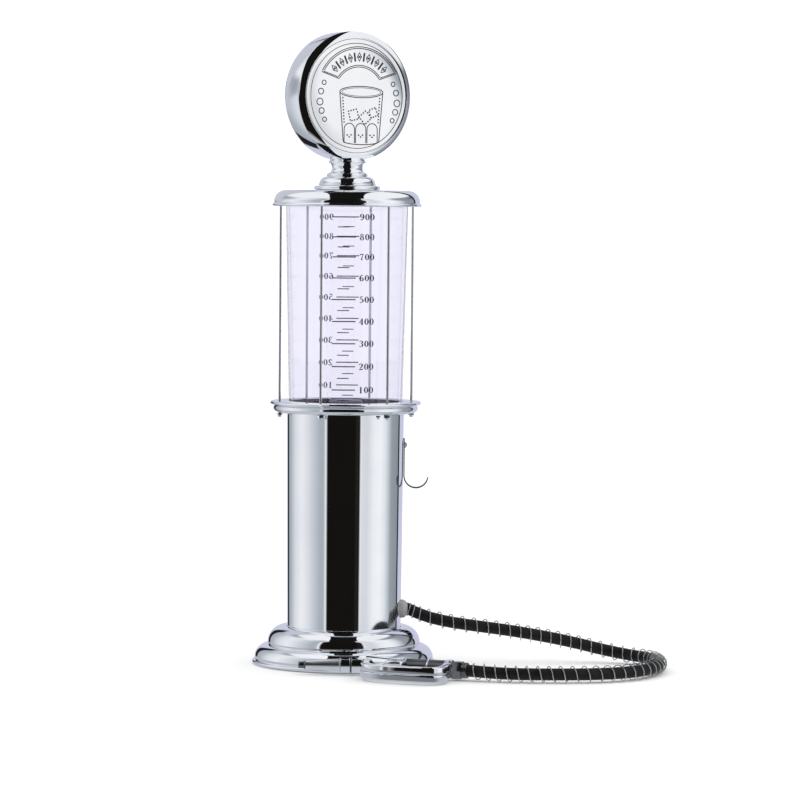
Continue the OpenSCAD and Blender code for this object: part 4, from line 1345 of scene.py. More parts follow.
@dataclass
class Tank:
    """Clear tank with its graduated scale on the front and on the back.

    Attributes:
        foot_r: Outer radius at the shoulder.
        head_r: Outer radius at the rim.
        shoulder: Height at which the tank steps in to its foot.
        rim: Height of the rim.
        wall: Thickness of the wall.
        floor_top: Height of the floor's top.
        floor_low: Height of its underside.
        fillet: Rounding between floor and wall.
        sump_r: Radius of the foot.
        outlet_r: Radius of the outlet's hole.
        lines: Height of the long line of each hundred.
        long_rule: Ends of a long line along the skin, and half its thickness.
        short_rule: The same of a short line.
        number_left: Left edge of the numbers along the skin.
        number_step: Distance from one figure to the next.
        print_lift: Distance from the tank's skin to the print.
        print_t: Thickness of the print.
        digit_w: Width of a figure.
        digit_h: Height of a figure.
    """

    foot_r: float = 43.6
    head_r: float = 47.0
    shoulder: float = 195.7
    rim: float = 353.0
    wall: float = 1.4
    floor_top: float = 196.2
    floor_low: float = 193.2
    fillet: float = 2.0
    sump_r: float = 40.5
    outlet_r: float = 8.05
    lines: tuple[float, ...] = (212.8, 230.5, 247.9, 264.7, 281.3, 297.6, 313.5, 328.6, 343.7)
    long_rule: Point3 = (-9.9, 8.0, 0.42)
    short_rule: Point3 = (-5.9, 3.1, 0.36)
    number_left: float = 10.9
    number_step: float = 4.15
    print_lift: float = 0.03
    print_t: float = 0.05
    digit_w: float = 3.2
    digit_h: float = 4.7

    def radius(self, height: float) -> float:
        """Give the outer radius at a height."""
        share = (height - self.shoulder) / (self.rim - self.shoulder)
        return self.foot_r + (self.head_r - self.foot_r) * share

    def build(self) -> None:
        """Turn the tank and lay the print on it."""
        soft, rows = 0.3, 40
        fillet_top = self.floor_top + self.fillet
        inner_low = self.radius(fillet_top) - self.wall
        first, last = self.shoulder + soft, self.rim - soft
        inner_first = fillet_top + 0.4
        profile = [(self.sump_r, self.floor_low), (self.sump_r, self.shoulder)]
        profile += [(self.foot_r - soft, self.shoulder)]
        outer = [first + (self.rim - self.shoulder - 2 * soft) * i / rows for i in range(rows + 1)]
        profile += [(self.radius(z), z) for z in outer]
        profile += [(self.head_r - soft, self.rim), (self.head_r - self.wall + soft, self.rim)]
        inner = [inner_first + (last - inner_first) * i / rows for i in range(rows + 1)]
        profile += [(self.radius(z) - self.wall, z) for z in reversed(inner)]
        profile += [(inner_low, fillet_top)]
        profile += arc((inner_low - self.fillet, fillet_top), self.fillet, -10, -90, 6)
        profile += [(self.outlet_r, self.floor_top), (self.outlet_r, self.floor_low)]
        tank = Mesh.lathe(profile, ROUND_STEPS)
        make_piece("tank_clear", tank, CLEAR, Body.PUMP, ["tank"], sharp=30)
        for name, turn, shift in (("front", 0.0, -0.3), ("back", 180.0, 0.6)):
            scale = self.scale_print(turn, shift)
            make_piece(f"tank_scale_{name}", scale, SCALE_INK, Body.PUMP, sharp=60)

    def on_skin(self, turn: float, shift: float) -> Placer:
        """Give the placer that lays the print on the tank.

        Args:
            turn: Angle of the print's middle from the front, in degrees.
            shift: How far the print sits to the right, in millimetres.

        Returns:
            A function from distance along the skin, height and lift to a point.
        """

        def place(along: float, height: float, lift: float) -> Point3:
            """Give a point of the print in space."""
            r = self.radius(height)
            t = math.radians(turn) + (along + shift) / r
            r += self.print_lift + lift
            return (r * math.sin(t), -r * math.cos(t), height)

        return place

    def scale_print(self, turn: float, shift: float) -> Mesh:
        """Draw the lines and numbers of one scale.

        Args:
            turn: Angle of its middle from the front, in degrees.
            shift: How far it sits to the right.

        Returns:
            The print.
        """
        place = self.on_skin(turn, shift)
        below = 8.0
        halfway = [(low + high) / 2 for low, high in zip(self.lines, self.lines[1:])]
        art = Mesh()
        for height in self.lines:
            art.add(self.rule(self.long_rule, height, place))
        for height in [self.lines[0] - below] + halfway:
            art.add(self.rule(self.short_rule, height, place))
        for i, height in enumerate(self.lines):
            for k, figure in enumerate(f"{(i + 1) * 100}"):
                left = self.number_left + self.number_step * k
                art.add(self.figure(figure, left, height - self.digit_h / 2, place))
        return art

    def rule(self, reach: Point3, height: float, place: Placer) -> Mesh:
        """Draw one level line of the scale.

        Args:
            reach: Its two ends along the skin, and half its thickness.
            height: Its height.
            place: The placer of the print.

        Returns:
            The line.
        """
        start, end, half = reach
        steps = 12
        points = [(start + (end - start) * i / steps, height, half) for i in range(steps + 1)]
        return ribbon(points, place, self.print_t)

    def figure(self, figure: str, left: float, low: float, place: Placer) -> Mesh:
        """Draw one upright figure with thick and thin strokes.

        Args:
            figure: The figure, 0 to 9.
            left: Its left edge along the skin.
            low: Its foot's height.
            place: The placer of the print.

        Returns:
            The figure's strokes.
        """
        strokes, rings = FIGURES[figure]
        w, h = self.digit_w, self.digit_h / FIGURE_TALL
        steps = 28
        art = Mesh()
        for stroke in strokes:
            samples = flowing(stroke, 0.09) if len(stroke) > 2 else [Vector(p) for p in stroke]
            points = [(left + p.x * w, low + p.y * h, max(0.22, 1.6 * p.z * w)) for p in samples]
            art.add(ribbon(points, place, self.print_t))
        for cx, cy, rx, ry, thick, thin in rings:
            loop = []
            for k in range(steps):
                t = 2 * math.pi * k / steps
                half = max(0.065, 1.5 * (thin + (thick - thin) * math.cos(t) ** 2))
                loop.append(
                    (left + (cx + rx * math.cos(t)) * w, low + (cy + ry * math.sin(t)) * h, half * w)
                )
            art.add(ribbon(loop, place, self.print_t, loop=True))
        return art


# A figure is drawn in a box one unit wide and FIGURE_TALL units high. A stroke's point has its
# place and half its width; a ring has its centre, its reach, and half its width at sides and top.
FIGURE_TALL = 1.45
Stroke = tuple[tuple[float, float, float], ...]
Ring = tuple[float, float, float, float, float, float]
SIX_STROKE: Stroke = (
    (0.84, 1.24, 0.07), (0.62, 1.41, 0.04), (0.32, 1.22, 0.07), (0.12, 0.78, 0.11), (0.11, 0.46, 0.10),
)
FIGURES: dict[str, tuple[tuple[Stroke, ...], tuple[Ring, ...]]] = {
    "0": ((), ((0.5, 0.725, 0.36, 0.68, 0.13, 0.04),)),
    "1": (
        (
            ((0.5, 0.0, 0.11), (0.5, 1.45, 0.11)),
            ((0.22, 0.03, 0.035), (0.80, 0.03, 0.035)),
            ((0.24, 1.24, 0.035), (0.5, 1.40, 0.05)),
        ),
        (),
    ),
    "2": (
        (
            (
                (0.14, 1.10, 0.08), (0.24, 1.36, 0.04), (0.52, 1.41, 0.04), (0.82, 1.14, 0.12),
                (0.66, 0.74, 0.09), (0.34, 0.36, 0.05), (0.1, 0.08, 0.035),
            ),
            ((0.08, 0.08, 0.07), (0.92, 0.08, 0.07)),
            ((0.90, 0.08, 0.035), (0.96, 0.36, 0.035)),
        ),
        (),
    ),
    "3": (
        (
            (
                (0.14, 1.16, 0.08), (0.3, 1.38, 0.04), (0.56, 1.40, 0.04), (0.82, 1.12, 0.11),
                (0.62, 0.82, 0.05), (0.38, 0.78, 0.035),
            ),
            (
                (0.38, 0.78, 0.035), (0.68, 0.72, 0.05), (0.88, 0.40, 0.12), (0.62, 0.06, 0.05),
                (0.34, 0.04, 0.04), (0.12, 0.26, 0.08),
            ),
        ),
        (),
    ),
    "4": (
        (
            ((0.68, 0.0, 0.10), (0.68, 1.45, 0.10)),
            ((0.68, 1.42, 0.035), (0.05, 0.42, 0.035)),
            ((0.03, 0.42, 0.035), (0.97, 0.42, 0.035)),
            ((0.44, 0.03, 0.035), (0.92, 0.03, 0.035)),
        ),
        (),
    ),
    "5": (
        (
            ((0.22, 1.42, 0.035), (0.2, 0.80, 0.035)),
            ((0.22, 1.36, 0.07), (0.86, 1.38, 0.07)),
            (
                (0.2, 0.80, 0.035), (0.5, 0.92, 0.04), (0.87, 0.50, 0.12), (0.62, 0.07, 0.05),
                (0.34, 0.04, 0.04), (0.12, 0.26, 0.08),
            ),
        ),
        (),
    ),
    "6": ((SIX_STROKE,), ((0.5, 0.43, 0.35, 0.39, 0.12, 0.04),)),
    "7": (
        (
            ((0.08, 1.36, 0.07), (0.92, 1.36, 0.07)),
            ((0.90, 1.34, 0.035), (0.60, 0.80, 0.06), (0.44, 0.0, 0.11)),
            ((0.08, 1.36, 0.035), (0.06, 1.06, 0.035)),
        ),
        (),
    ),
    "8": (
        (),
        ((0.5, 1.09, 0.28, 0.33, 0.09, 0.04), (0.5, 0.38, 0.35, 0.36, 0.11, 0.04)),
    ),
    "9": (
        (tuple((1.0 - x, FIGURE_TALL - y, half) for x, y, half in SIX_STROKE),),
        ((0.5, 1.02, 0.35, 0.39, 0.12, 0.04),),
    ),
}


@dataclass
class Cap:
    """Domed cap that holds the tank's rim and the rods' upper ends.

    Attributes:
        low: Height of its lower edge.
        high: Height of its flat top.
        radius: Radius of its wall.
        rim_r: Radius of the rim at its foot.
        rim_round: Rounding of the rim.
        shoulder_r: Rounding from wall to top.
        filler_r: Radius of the filler hole.
        crown_low: Height of the top's underside.
        groove: Inner and outer radius of the groove under the rim.
        groove_top: Height of the groove's end.
        tank_r: Radius inside the tank's wall.
    """

    low: float = 351.7
    high: float = 364.0
    radius: float = 56.0
    rim_r: float = 57.4
    rim_round: float = 1.15
    shoulder_r: float = 8.8
    filler_r: float = 22.3
    crown_low: float = 361.5
    groove: Point2 = (45.2, 47.6)
    groove_top: float = 354.2
    tank_r: float = 43.3

    def build(self) -> None:
        """Turn the cap."""
        ring = (self.radius - self.shoulder_r, self.high - self.shoulder_r)
        rim = (self.rim_r - self.rim_round, self.low + self.rim_round)
        inner, outer = self.groove
        profile = [(self.filler_r, self.crown_low), (self.filler_r, self.high - 0.4)]
        profile += [(self.filler_r + 0.4, self.high)]
        profile += arc(ring, self.shoulder_r, 90, 0, 36)
        profile += [(self.radius, self.groove_top)]
        profile += arc(rim, self.rim_round, 80, -90, 14)
        profile += [(outer, self.low), (outer, self.groove_top)]
        profile += [(inner, self.groove_top), (inner, self.low)]
        profile += [(self.tank_r, self.low), (self.tank_r, self.crown_low)]
        cap = Mesh.lathe(profile, FINE_STEPS)
        make_piece("cap_dome_plated", cap, PLATE, Body.PUMP, ["cap_dome"])


@dataclass
class Hook:
    """J hook of bent strip on the column's side, with its screw.

    Attributes:
        middle_x: Distance of the strip's middle from the column's axis.
        bend_z: Height of the bend's centre.
        bend_r: Radius of the bend.
        top: Height of the strip's upper end.
        half_w: Half width of the strip.
        thick: Thickness of the strip.
        soft: Rounding of its edges.
        screw_x: Distance of the screw head's seat from the column's axis.
        screw_z: Height of the screw.
    """

    middle_x: float = 45.31
    bend_z: float = 145.4
    bend_r: float = 9.2
    top: float = 174.3
    half_w: float = 4.0
    thick: float = 0.9
    soft: float = 0.14
    screw_x: float = 45.85
    screw_z: float = 169.0

    def build(self) -> None:
        """Bend the strip and set its screw."""
        x, bend = self.middle_x, self.bend_z
        line = [(x, self.top), (x, bend + 8), (x, bend)]
        line += arc((x + self.bend_r, bend), self.bend_r, 180, 353, 30)[1:]
        step = 0.8
        points = evenly([Vector((x, 0.0, z)) for x, z in line], step)
        rings = []
        for i, (here, run) in enumerate(walked(points)):
            out = Vector((run.z, 0.0, -run.x))
            left = min(i, len(points) - 1 - i) * step
            half = self.half_w * math.sqrt(max(0.05, 1 - max(0.0, 1 - left / self.half_w) ** 2))
            section = soft_box(half, self.thick / 2, self.soft, 3)
            rings.append([tuple(here + Vector((0, a, 0)) + out * b) for a, b in section])
        # The strip's near-black finish is a painted reflection of the dark front panel.
        make_piece("hook_strip_bent", Mesh.rings(rings), DARK_REFLECTION_STEEL, Body.PUMP, ["hook_strip"], sharp=24)
        head = [(0.0, 0.0), (2.3, 0.0), (2.3, 0.5)] + arc((0.0, -0.95), 2.75, 32, 88, 10) + [(0.0, 1.8)]
        turn = Matrix.Rotation(math.pi / 2, 4, "Y")
        screw = Mesh.lathe(head, 40, Matrix.Translation((self.screw_x, 0.0, self.screw_z)) @ turn)
        make_piece("hook_screw_domed", screw, STEEL, Body.PUMP, ["hook_screw"])


# ---- Hose


@dataclass
class Hose:
    """Rubber hose in a wound wire guard, from the column to the nozzle.

    Attributes:
        radius: Radius of the hose.
        wire_r: Radius of the wire.
        guard_r: Outer radius of the wound wire.
        pitch: Distance from one turn of the wire to the next.
        first_r: Radius of the wire's middle line at the column.
        first_pitch: Distance between its turns there.
        ease: Where the turns start to open, and the length in which they do.
        root: Start of the hose inside the grommet.
        route: Points of the hose's middle line.
    """

    radius: float = 4.5
    wire_r: float = 0.42
    guard_r: float = 6.4
    pitch: float = 8.6
    first_r: float = 5.0
    first_pitch: float = 2.6
    ease: Point2 = (2.0, 16.0)
    root: Point3 = (47.4, 0, 43.2)
    route: tuple[Point3, ...] = (
        (49, 0, 42.6), (53, 0, 40.9), (58, 0, 38.8), (67, 0, 35.8), (80, 1, 32.8), (95, 2, 30.4),
        (112, 4, 28), (130, 6, 25.4), (148, 9, 22.2), (166, 12, 18.6), (182, 14, 15),
        (197, 14.5, 11.4), (211, 13, 8.6), (223, 8.5, 6.9), (232, 0, 6.5), (238, -13, 6.5),
        (240.5, -30, 6.5), (239.5, -48, 6.5), (235, -66, 6.5), (227, -82, 6.5), (215, -96, 6.5),
        (200, -106, 6.5), (182, -112, 6.5), (162, -114.5, 6.5), (142, -115, 6.5),
        (124, -113.5, 6.6), (108, -110, 7.1), (94, -105, 7.6),
    )

    def build(self) -> None:
        """Make the hose and its wire, from the column to the nozzle."""
        line = flowing((self.root, *self.route), 1.5)
        ripple = [self.radius + 0.05 * math.sin(2.1 * i) for i in range(len(line))]
        skin = Mesh.tube(line, ripple, 24)
        hose = make_piece("hose_smooth", skin, HOSE_RUBBER, None, ["hose"], sharp=60)
        wire = make_piece("hose_wire_guard", self.wound(line), GUARD_WIRE, None, ["hose_guard"], sharp=80)
        for piece in (hose, wire):
            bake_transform(piece)
        tuple(c * MM for c in self.route[0])

    def wound(self, line: Sequence[Vector]) -> Mesh:
        """Wind the wire round the hose: tight and narrow at the column, then open turns.

        Args:
            line: Middle line of the hose.

        Returns:
            The wire.
        """
        step = 0.45
        fine = evenly(line, step)
        length = line_length(fine)
        out = self.guard_r - self.wire_r - self.first_r
        points: list[Vector] = []
        side = Vector((0, 0, 1))
        phase = 0.0
        for i, (here, ahead) in enumerate(walked(fine)):
            along = length * i / (len(fine) - 1)
            side = (side - ahead * ahead.dot(side)).normalized()
            across = ahead.cross(side)
            ease = min(1.0, max(0.0, (along - self.ease[0]) / self.ease[1]))
            close = min(1.0, max(0.0, (length - 1.0 - along) / 8.0))
            radius = self.first_r + out * ease * (0.55 + 0.45 * close)
            open_pitch = self.pitch * (1.0 + 0.07 * math.sin(along / 23.0))
            pitch = self.first_pitch + (open_pitch - self.first_pitch) * ease
            phase += 2 * math.pi * step / pitch
            if 1.2 <= along <= length - 0.8:
                points.append(here + radius * (math.cos(phase) * side + math.sin(phase) * across))
        return Mesh.tube(points, self.wire_r, 8)


@dataclass
class Grommet:
    """Domed grey nut where the hose leaves the column."""

    height: float = 42.6
    back: float = 43.0
    tip: float = 49.0
    radius: float = 7.1

    def build(self) -> None:
        """Turn the nut."""
        profile = [(0.0, self.back - 3), (self.radius, self.back - 3)]
        profile += [(self.radius, self.tip - 4.2)]
        profile += arc((self.radius - 3.6, self.tip - 4.2), 3.6, 5, 62, 10)
        profile += [(4.9, self.tip - 0.5), (4.7, self.tip - 0.1), (0.0, self.tip - 0.1)]
        place = Matrix.Translation((0, 0, self.height)) @ Matrix.Rotation(math.pi / 2, 4, "Y")
        nut = Mesh.lathe(profile, SMALL_STEPS, place)
        make_piece("hose_grommet_domed", nut, GREY, Body.PUMP, ["hose_grommet"])


# ---- Plug, neck and globe


@dataclass
class Neck:
    """Filler plug and the turned neck that carries the globe.

    Attributes:
        flange_r: Radius of the plug's flange.
        flange: Heights of its underside and its top.
        plug_r: Radius of the plug below it.
        plug_low: Height of the plug's end.
        groove: Heights of the seal's groove.
        groove_r: Radius of the groove's floor.
        foot: Height of the neck's foot.
        foot_r: Radius of the foot.
        foot_round: Rounding of its rim.
        top: Height of the neck's end, inside the globe.
    """

    flange_r: float = 25.4
    flange: Point2 = (364.2, 367.5)
    plug_r: float = 21.6
    plug_low: float = 352.2
    groove: Point2 = (357.1, 359.3)
    groove_r: float = 20.2
    foot: float = 367.7
    foot_r: float = 22.0
    foot_round: float = 0.8
    top: float = 388.6

    def build(self) -> None:
        """Turn the plug and the neck."""
        low, high = self.flange
        edge = (high - low) / 2
        profile = [(0.0, self.plug_low + 0.4), (self.plug_r - 0.4, self.plug_low)]
        profile += [(self.plug_r, self.plug_low + 0.4), (self.plug_r, self.groove[0])]
        profile += [(self.groove_r, z) for z in self.groove]
        profile += [(self.plug_r, self.groove[1]), (self.plug_r, low)]
        profile += arc((self.flange_r - edge, low + edge), edge, -90, 90, 16)
        profile += [(0.0, high)]
        plug = Mesh.lathe(profile, ROUND_STEPS)
        make_piece("plug_plated", plug, PLATE, Body.PLUG, ["plug_body"])
        z, soft = self.foot, self.foot_round
        shape = [(0.0, z), (self.foot_r - soft, z)]
        shape += arc((self.foot_r - soft, z + soft), soft, -90, 90, 10)
        shape += arc((15.6, z + 0.9), 6.0, 8, 78, 22)
        shape += [(16.2, z + 6.9)]
        shape += arc((14.2, z + 8.0), 1.5, -40, 70, 12)
        shape += arc((17.6, z + 13.6), 5.7, 215, 142, 20)
        shape += arc((13.4, z + 18.0), 0.9, -50, 60, 8)
        shape += [(13.2, self.top), (0.0, self.top)]
        neck = Mesh.lathe(shape, ROUND_STEPS)
        make_piece("neck_turned", neck, PLATE, Body.GLOBE, ["neck_pedestal"])


@dataclass
class Globe:
    """Round sign: a drum with rounded bezels and an engraved face on each side.

    Attributes:
        radius: Radius of the drum and the bezels.
        centre_z: Height of the globe's middle.
        turn: Angle of its front at rest, in degrees.
        drum_half: Half width of the drum.
        bezel_h: Height of a bezel above the drum.
        bezel_w: Width of a bezel.
        bezel_slope: Rounding of its outer slope.
        face_r: Radius of a face.
        face_h: Height of a face above the globe's middle.
        face_t: Thickness of a face.
    """

    radius: float = 49.2
    centre_z: float = 436.0
    turn: float = 30.0
    drum_half: float = 9.5
    bezel_h: float = 4.2
    bezel_w: float = 4.9
    bezel_slope: float = 12.0
    face_r: float = 45.4
    face_h: float = 12.2
    face_t: float = 1.3

    def frame(self, rear: bool = False) -> Matrix:
        """Find the frame of a face: +Z out of it, +Y up.

        Args:
            rear: Whether it is the rear face.

        Returns:
            The frame.
        """
        place = (
            Matrix.Translation((0, 0, self.centre_z))
            @ Matrix.Rotation(math.radians(self.turn), 4, "Z")
            @ Matrix.Rotation(math.pi / 2, 4, "X")
        )
        return place @ Matrix.Rotation(math.pi, 4, "Y") if rear else place

    def build(self) -> None:
        """Turn the drum, the bezels and the faces, and engrave the faces."""
        r, half, soft = self.radius, self.drum_half, 0.35
        profile = [(r - 2, -half), (r - 0.5, -half)]
        profile += arc((r - soft, -half + soft), soft, -90, 0, 4)
        profile += arc((r - soft, half - soft), soft, 0, 90, 4) + [(r - 2, half)]
        drum = Mesh.lathe(profile, FINE_STEPS, self.frame())
        make_piece("globe_drum_plated", drum, PLATE, Body.GLOBE, ["globe_drum"])
        for side, rear in (("front", False), ("rear", True)):
            place = self.frame(rear)
            bezel = Mesh.lathe(self.bezel(), FINE_STEPS, place)
            face = Mesh.lathe(self.face(), ROUND_STEPS, place)
            art = Emblem(self.face_h, place).art()
            make_piece(
                f"globe_bezel_{side}_rolled", bezel, PLATE, Body.GLOBE, [f"globe_bezel_{side}"]
            )
            make_piece(
                f"globe_face_{side}_plate", face, FACE_PLATE, Body.GLOBE, [f"globe_face_{side}"]
            )
            make_piece(f"globe_emblem_{side}", art, ENGRAVING, Body.GLOBE, sharp=60)

    def bezel(self) -> list[Point2]:
        """Draw a bezel: a wide soft slope outside, a small step down to the face inside.

        Returns:
            Its profile.
        """
        r, low, slope = self.radius, self.drum_half, self.bezel_slope
        top, inner, seat = low + self.bezel_h, r - self.bezel_w, self.face_r + 0.05
        crown, lean = (inner + 0.1, top - 0.05), math.radians(70)
        centre = (crown[0] - slope * math.cos(lean), crown[1] - slope * math.sin(lean))
        profile = [(r, low), (r, low + 0.6)]
        profile += arc((r - 0.55, low + 0.65), 0.55, 8, 36, 4)
        profile += arc(centre, slope, 42.5, 71, 26)
        profile += [(inner - 0.1, top - 0.08), (inner - 0.2, top - 0.5), (inner - 0.2, self.face_h + 0.3)]
        profile += [(self.face_r - 1.2, self.face_h + 0.02), (seat, self.face_h - 0.1)]
        profile += [(seat, low - 2), (r - 2.1, low - 2), (r - 2.1, low), (r - 0.02, low)]
        return profile

    def face(self) -> list[Point2]:
        """Draw a face with a shallow pressed ring near its edge.

        Returns:
            Its profile.
        """
        top, low = self.face_h, self.face_h - self.face_t
        profile = [(0.0, low), (self.face_r, low), (self.face_r, top)]
        profile += [(42.2, top), (41.6, top - 0.25), (41.0, top - 0.25)]
        profile += [(r, top) for r in (40.4, 30.0, 15.0, 0.0)]
        return profile


@dataclass
class Emblem:
    """Line work of a globe face: rings, an arched band with a running pattern, dots and a tumbler.

    Attributes:
        height: Height of the face along its frame's Z.
        place: Frame of the face.
        lift: Distance from the face to the lines.
        thick: Thickness of the lines.
        line: Half width of the lines of the tumbler and the dots.
        fine: Half width of the flutes' lines.
        middle: Middle of the band and of the dots.
        dots: Place and radius of each dot beside the tumbler, on one side.
        cubes: Place, size and lean of each ice cube.
        glass: Middle of the tumbler across, height of its rim and of its foot.
        rim_half: Half width of its rim.
        foot_half: Half width of its foot.
    """

    height: float
    place: Matrix
    lift: float = 0.02
    thick: float = 0.06
    line: float = 0.36
    fine: float = 0.34
    middle: Point2 = (3.0, 0.4)
    dots: tuple[Point3, ...] = (
        (30.2, 9.6, 1.7), (32.8, 2.9, 2.2), (33.7, -5.0, 2.6), (32.2, -11.8, 2.2), (29.6, -18.3, 1.7),
    )
    cubes: tuple[tuple[float, float, float, float], ...] = (
        (-6.6, -14.6, 5.4, 14), (3.6, -16.4, 5.4, 40), (10.6, -12.6, 4.4, 22),
    )
    glass: Point3 = (4.9, 3.0, -37.0)
    rim_half: float = 18.8
    foot_half: float = 15.6

    def on_face(self, x: float, y: float, lift: float) -> Point3:
        """Give the point of the face at x to the right and y up."""
        return tuple(self.place @ Vector((x, y, self.height + self.lift + lift)))

    def draw(self, points: Sequence[Point2], half: float, loop: bool = False) -> Mesh:
        """Draw one line of even width.

        Args:
            points: Points of the line.
            half: Half its width.
            loop: Whether it closes on itself.

        Returns:
            The line.
        """
        return ribbon([(x, y, half) for x, y in points], self.on_face, self.thick, loop)

    def circle(self, centre: Point2, r: float, half: float, steps: int = 40) -> Mesh:
        """Draw one full circle.

        Args:
            centre: Its centre.
            r: Its radius.
            half: Half the line's width.
            steps: Number of stretches.

        Returns:
            The circle.
        """
        return self.draw(arc(centre, r, 0, 360, steps)[:-1], half, True)

    def dashed(self, points: Sequence[Point2]) -> Mesh:
        """Draw a broken line.

        Args:
            points: Points of the line.

        Returns:
            The dashes.
        """
        step, dash, span, half = 0.1, 12, 23, 0.56
        art = Mesh()
        samples = evenly([Vector(p) for p in points], step)
        for start in range(0, len(samples) - dash, span):
            part = samples[start : start + dash + 1]
            art.add(self.draw([(p.x, p.y) for p in part], half))
        return art

    def art(self) -> Mesh:
        """Draw all lines of the face.

        Returns:
            The lines.
        """
        art = Mesh()
        art.add(self.circle((1.0, 0), 40.0, 0.26, 160))
        art.add(self.circle((0.5, 0), 43.4, 0.18, 160))
        art.add(self.band(37.0, 21.6, 31.5)).add(self.band(35.7, 22.9, 33.2))
        art.add(self.running_pattern(29.3))
        for side in (-1, 1):
            for x, y, r in self.dots:
                art.add(self.circle((self.middle[0] + side * x - 0.4, y), r, self.line, 28))
        return art.add(self.tumbler()).add(self.ice()).add(self.flutes())

    def band(self, outer: float, inner: float, end: float) -> Mesh:
        """Draw the outline of the arched band across the top.

        Args:
            outer: Radius of its outer line.
            inner: Radius of its inner line.
            end: Angle of its ends above the level line.

        Returns:
            The outline.
        """
        lean = 3.5
        points = arc(self.middle, outer, end - lean, 180 - end + lean, 60)
        points += arc(self.middle, inner, 180 - end - lean, end + lean, 50)
        return self.draw(points, 0.33, True)

    def running_pattern(self, radius: float) -> Mesh:
        """Draw the diamonds and bars that fill the band.

        Args:
            radius: Radius of their row.

        Returns:
            The pattern.
        """
        art = Mesh()
        count, first, last = 13, 43, 137
        for i in range(count):
            turn = math.radians(first + (last - first) * i / (count - 1))
            up = Vector((math.cos(turn), math.sin(turn)))
            side = Vector((-up.y, up.x))
            centre = Vector(self.middle) + radius * up
            if i % 2:
                ends = [centre - up * 3.4, centre + up * 3.4]
                art.add(self.draw([(p.x, p.y) for p in ends], 0.75))
            else:
                corners = [centre + up * 3.3, centre + side * 1.7, centre - up * 3.3, centre - side * 1.7]
                art.add(self.draw([(p.x, p.y) for p in corners], 0.5, True))
                art.add(self.circle((centre.x, centre.y), 0.45, 0.42, 12))
        return art

    def tumbler(self) -> Mesh:
        """Draw a plain tumbler: its rim, its sides with a broken line inside, and its foot.

        Returns:
            The tumbler.
        """
        mid, top, foot = self.glass
        art = self.draw(oval((mid, top), (self.rim_half, 4.3), 0, 360, 40)[:-1], self.line, True)
        art.add(self.draw(oval((mid, top), (self.rim_half - 1.8, 3.2), 0, 360, 40)[:-1], 0.22, True))
        for side in (-1, 1):
            ends = [(mid + side * self.rim_half, top), (mid + side * self.foot_half, foot + 2.5)]
            art.add(self.draw(ends, self.line))
            inside = (mid + side * (self.rim_half - 2.6), top - 4.0)
            art.add(self.dashed([inside, (mid + side * (self.foot_half - 0.8), -21.5)]))
        foot_line = oval((mid, foot + 2.5), (self.foot_half, 2.6), 180, 360, 20)
        return art.add(self.draw(foot_line, self.line))

    def ice(self) -> Mesh:
        """Draw the ice cubes in the tumbler.

        Returns:
            The cubes.
        """
        art = Mesh()
        for x, y, size, lean in self.cubes:
            centre = (self.glass[0] + x, y)
            art.add(self.dashed(arc(centre, size, lean + 45, lean + 405, 4)))
        return art

    def flutes(self) -> Mesh:
        """Draw the three flutes at the tumbler's foot.

        Returns:
            The flutes.
        """
        art = Mesh()
        width, low, high = 9.0, self.glass[2] + 1.0, -25.4
        for k in range(3):
            left = self.glass[0] - self.foot_half + 0.8 + k * 10.0
            arch = [(left, low)] + arc((left + width / 2, high), width / 2, 180, 0, 14)
            art.add(self.draw(arch + [(left + width, low)], self.fine))
            art.add(self.dashed([(left + 2.2, -29.5), (left + 4.5, -31.4), (left + 6.8, -29.0)]))
        return art


# ---- Nozzle


